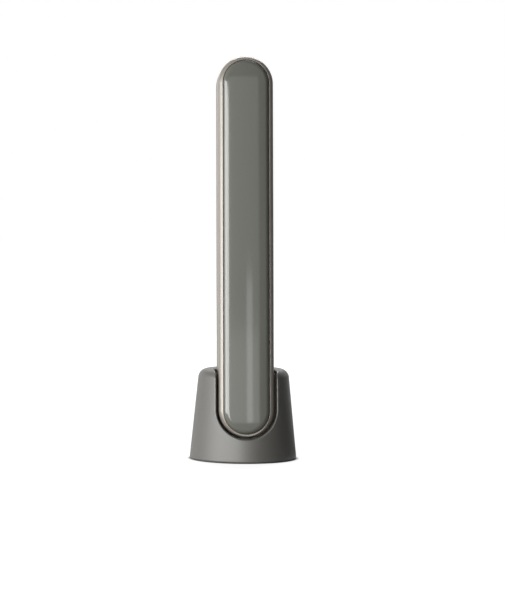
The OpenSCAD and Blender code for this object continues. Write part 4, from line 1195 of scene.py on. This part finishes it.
def makeFloor(s):
    # White paper: its glow towards the camera grows with the distance from the object, so the
    # far floor meets the white sky and the near floor keeps the object's shadow. Close round the
    # foot the glow falls to nothing, which paints a dark contact shadow on the floor in a narrow
    # ring round the cradle.
    h = s.floorSize / 2
    mesh = bpy.data.meshes.new("studioFloor")
    mesh.from_pydata([(-h, -h, 0), (h, -h, 0), (h, h, 0), (-h, h, 0)], [], [(0, 1, 2, 3)])
    m, tree = emptyMaterial("floorPaper")
    paper = addNode(tree, "BsdfDiffuse", {"Color": (s.floorShade,) * 3 + (1,)})
    place = addNode(tree, "TexCoord").outputs["Object"]
    away = addNode(tree, "VectorMath", {0: place}, operation="LENGTH").outputs["Value"]
    ramp = rampUp(tree, away, {"From Min": s.glowFrom, "From Max": s.glowTo,
                               "To Min": s.nearGlow, "To Max": s.farGlow})
    # painted contact shadow: the glow is zero under the foot and rises to full just outside it, so
    # the floor is painted dark in a ring round the cradle
    under = rampUp(tree, away, {"From Min": s.footFrom, "From Max": s.footTo})
    level = calc(tree, "MULTIPLY", seenDirectly(tree, s.floorMirror),
                 calc(tree, "MULTIPLY", ramp, under))
    glow = addNode(tree, "Emission", {"Strength": level})
    both = addNode(tree, "AddShader", {0: paper.outputs[0], 1: glow.outputs[0]})
    addNode(tree, "OutputMaterial", {"Surface": both.outputs[0]})
    mesh.materials.append(m)
    addObject("studioFloor", mesh)


def makeSky(s):
    # White behind everything that is seen or mirrored, a weak fill for the rest.
    world = bpy.data.worlds.new("studioSky")
    bpy.context.scene.world = world
    world.use_nodes = True
    tree = world.node_tree
    tree.nodes.clear()
    fill = addNode(tree, "Background", {"Color": s.skyTint, "Strength": s.skyFill})
    white = addNode(tree, "Background", {"Color": (1, 1, 1, 1)})
    pick = addNode(tree, "MixShader",
                   {0: seenDirectly(tree), 1: fill.outputs[0], 2: white.outputs[0]})
    addNode(tree, "OutputWorld", {"Surface": pick.outputs[0]})


def makeCard(s):
    # Dark card bent round the right side with an apron on the floor, and a roof over both; it
    # is paler behind the object and only shows in reflections. Its shade is kept in an attribute.
    def band(first, last, steps, radii, heights):
        # Two points at each step between two bearings; they share a radius or a height.
        bearing, r = np.radians(np.linspace(first, last, steps))[:, None], np.array(radii)
        return toPoints(r * np.sin(bearing), -r * np.cos(bearing), heights)

    bands = [band(s.cardFrom, s.cardTo, s.cardSteps, s.cardRadius, (0, s.cardTall)),
             band(s.cardFrom, s.apronTo, s.apronSteps, (s.apronFrom, s.cardRadius), s.apronAt),
             band(0, 360, s.roofSteps, (0, s.roofRadius), s.roofAt)]
    t = np.linspace(s.cardFrom, s.cardTo, s.cardSteps)
    t = np.clip((t - s.fadeFrom) / (s.fadeTo - s.fadeFrom), 0, 1)
    shade = s.cardShade + (s.backShade - s.cardShade) * t * t * (3 - 2 * t)
    faces, first = [], 0
    for p in bands:
        faces += gridFaces(len(p), 2, first).tolist()
        first += 2 * len(p)
    mesh = bpy.data.meshes.new("darkCard")
    mesh.from_pydata(np.concatenate(bands).reshape(-1, 3).tolist(), [], faces)
    setMark(mesh, "shade", np.repeat(np.concatenate([
        shade, np.full(s.apronSteps, s.cardShade), np.full(s.roofSteps, s.roofShade)]), 2))
    m, tree = emptyMaterial("cardBlack")
    black = addNode(tree, "Emission", {"Strength": attributeAt(tree, "shade")})
    addNode(tree, "OutputMaterial", {"Surface": black.outputs[0]})
    mesh.materials.append(m)
    card = addObject("darkCard", mesh)
    for rays in ("camera", "diffuse", "shadow", "transmission"):
        setattr(card, "visible_" + rays, False)


# lamps: the point they face, bearing from the front and elevation over it in degrees, distance,
# width and height in m, power in W; softboxes at the left, two weak lamps in front, one behind.
# streakEdge is the front edge of the softboxes: it widens the streak on the cover and lights
# nothing else.
lampAim = (0, 0, 0.1)
softbox = dict(elevation=8.0, distance=1.2, width=0.42, height=0.5)
lampSet = dict(
    **{"softbox%d" % -bearing: dict(softbox, azimuth=bearing, power=power)
       for bearing, power in ((-30, 6.4), (-50, 7.4), (-70, 6.2), (-90, 1.6))},
    streakEdge=dict(softbox, azimuth=-14.07, width=0.252, power=3.8, diffuse=False),
    backTop=dict(azimuth=172, elevation=50, distance=1.3, width=0.9, height=0.6, power=11.5),
    frontStrip=dict(azimuth=7, elevation=4.0, distance=1.3, width=0.09, height=0.32, power=0.2),
    frontLow=dict(azimuth=0, elevation=2.7, distance=1.3, width=0.62, height=0.27, power=0.55))


def addLamp(name, azimuth, elevation, distance, width, height, power, diffuse=True):
    # Rectangular lamp at a bearing from the front, turned to face the object's middle.
    a, e = math.radians(azimuth), math.radians(elevation)
    data = bpy.data.lights.new(name, "AREA")
    data.shape = "RECTANGLE"
    data.size, data.size_y, data.energy = width, height, power
    lamp = addObject(name, data)
    back = Vector((math.sin(a) * math.cos(e), -math.cos(a) * math.cos(e), math.sin(e)))
    lamp.location = Vector(lampAim) + back * distance
    lamp.rotation_mode = "QUATERNION"
    lamp.rotation_quaternion = (-back).to_track_quat("-Z", "Y")
    lamp.visible_camera = False
    lamp.visible_diffuse = diffuse


makeFloor(named(studioSet))
makeSky(named(studioSet))
makeCard(named(studioSet))
for name, lamp in lampSet.items():
    addLamp(name, **lamp)
print("studio set")
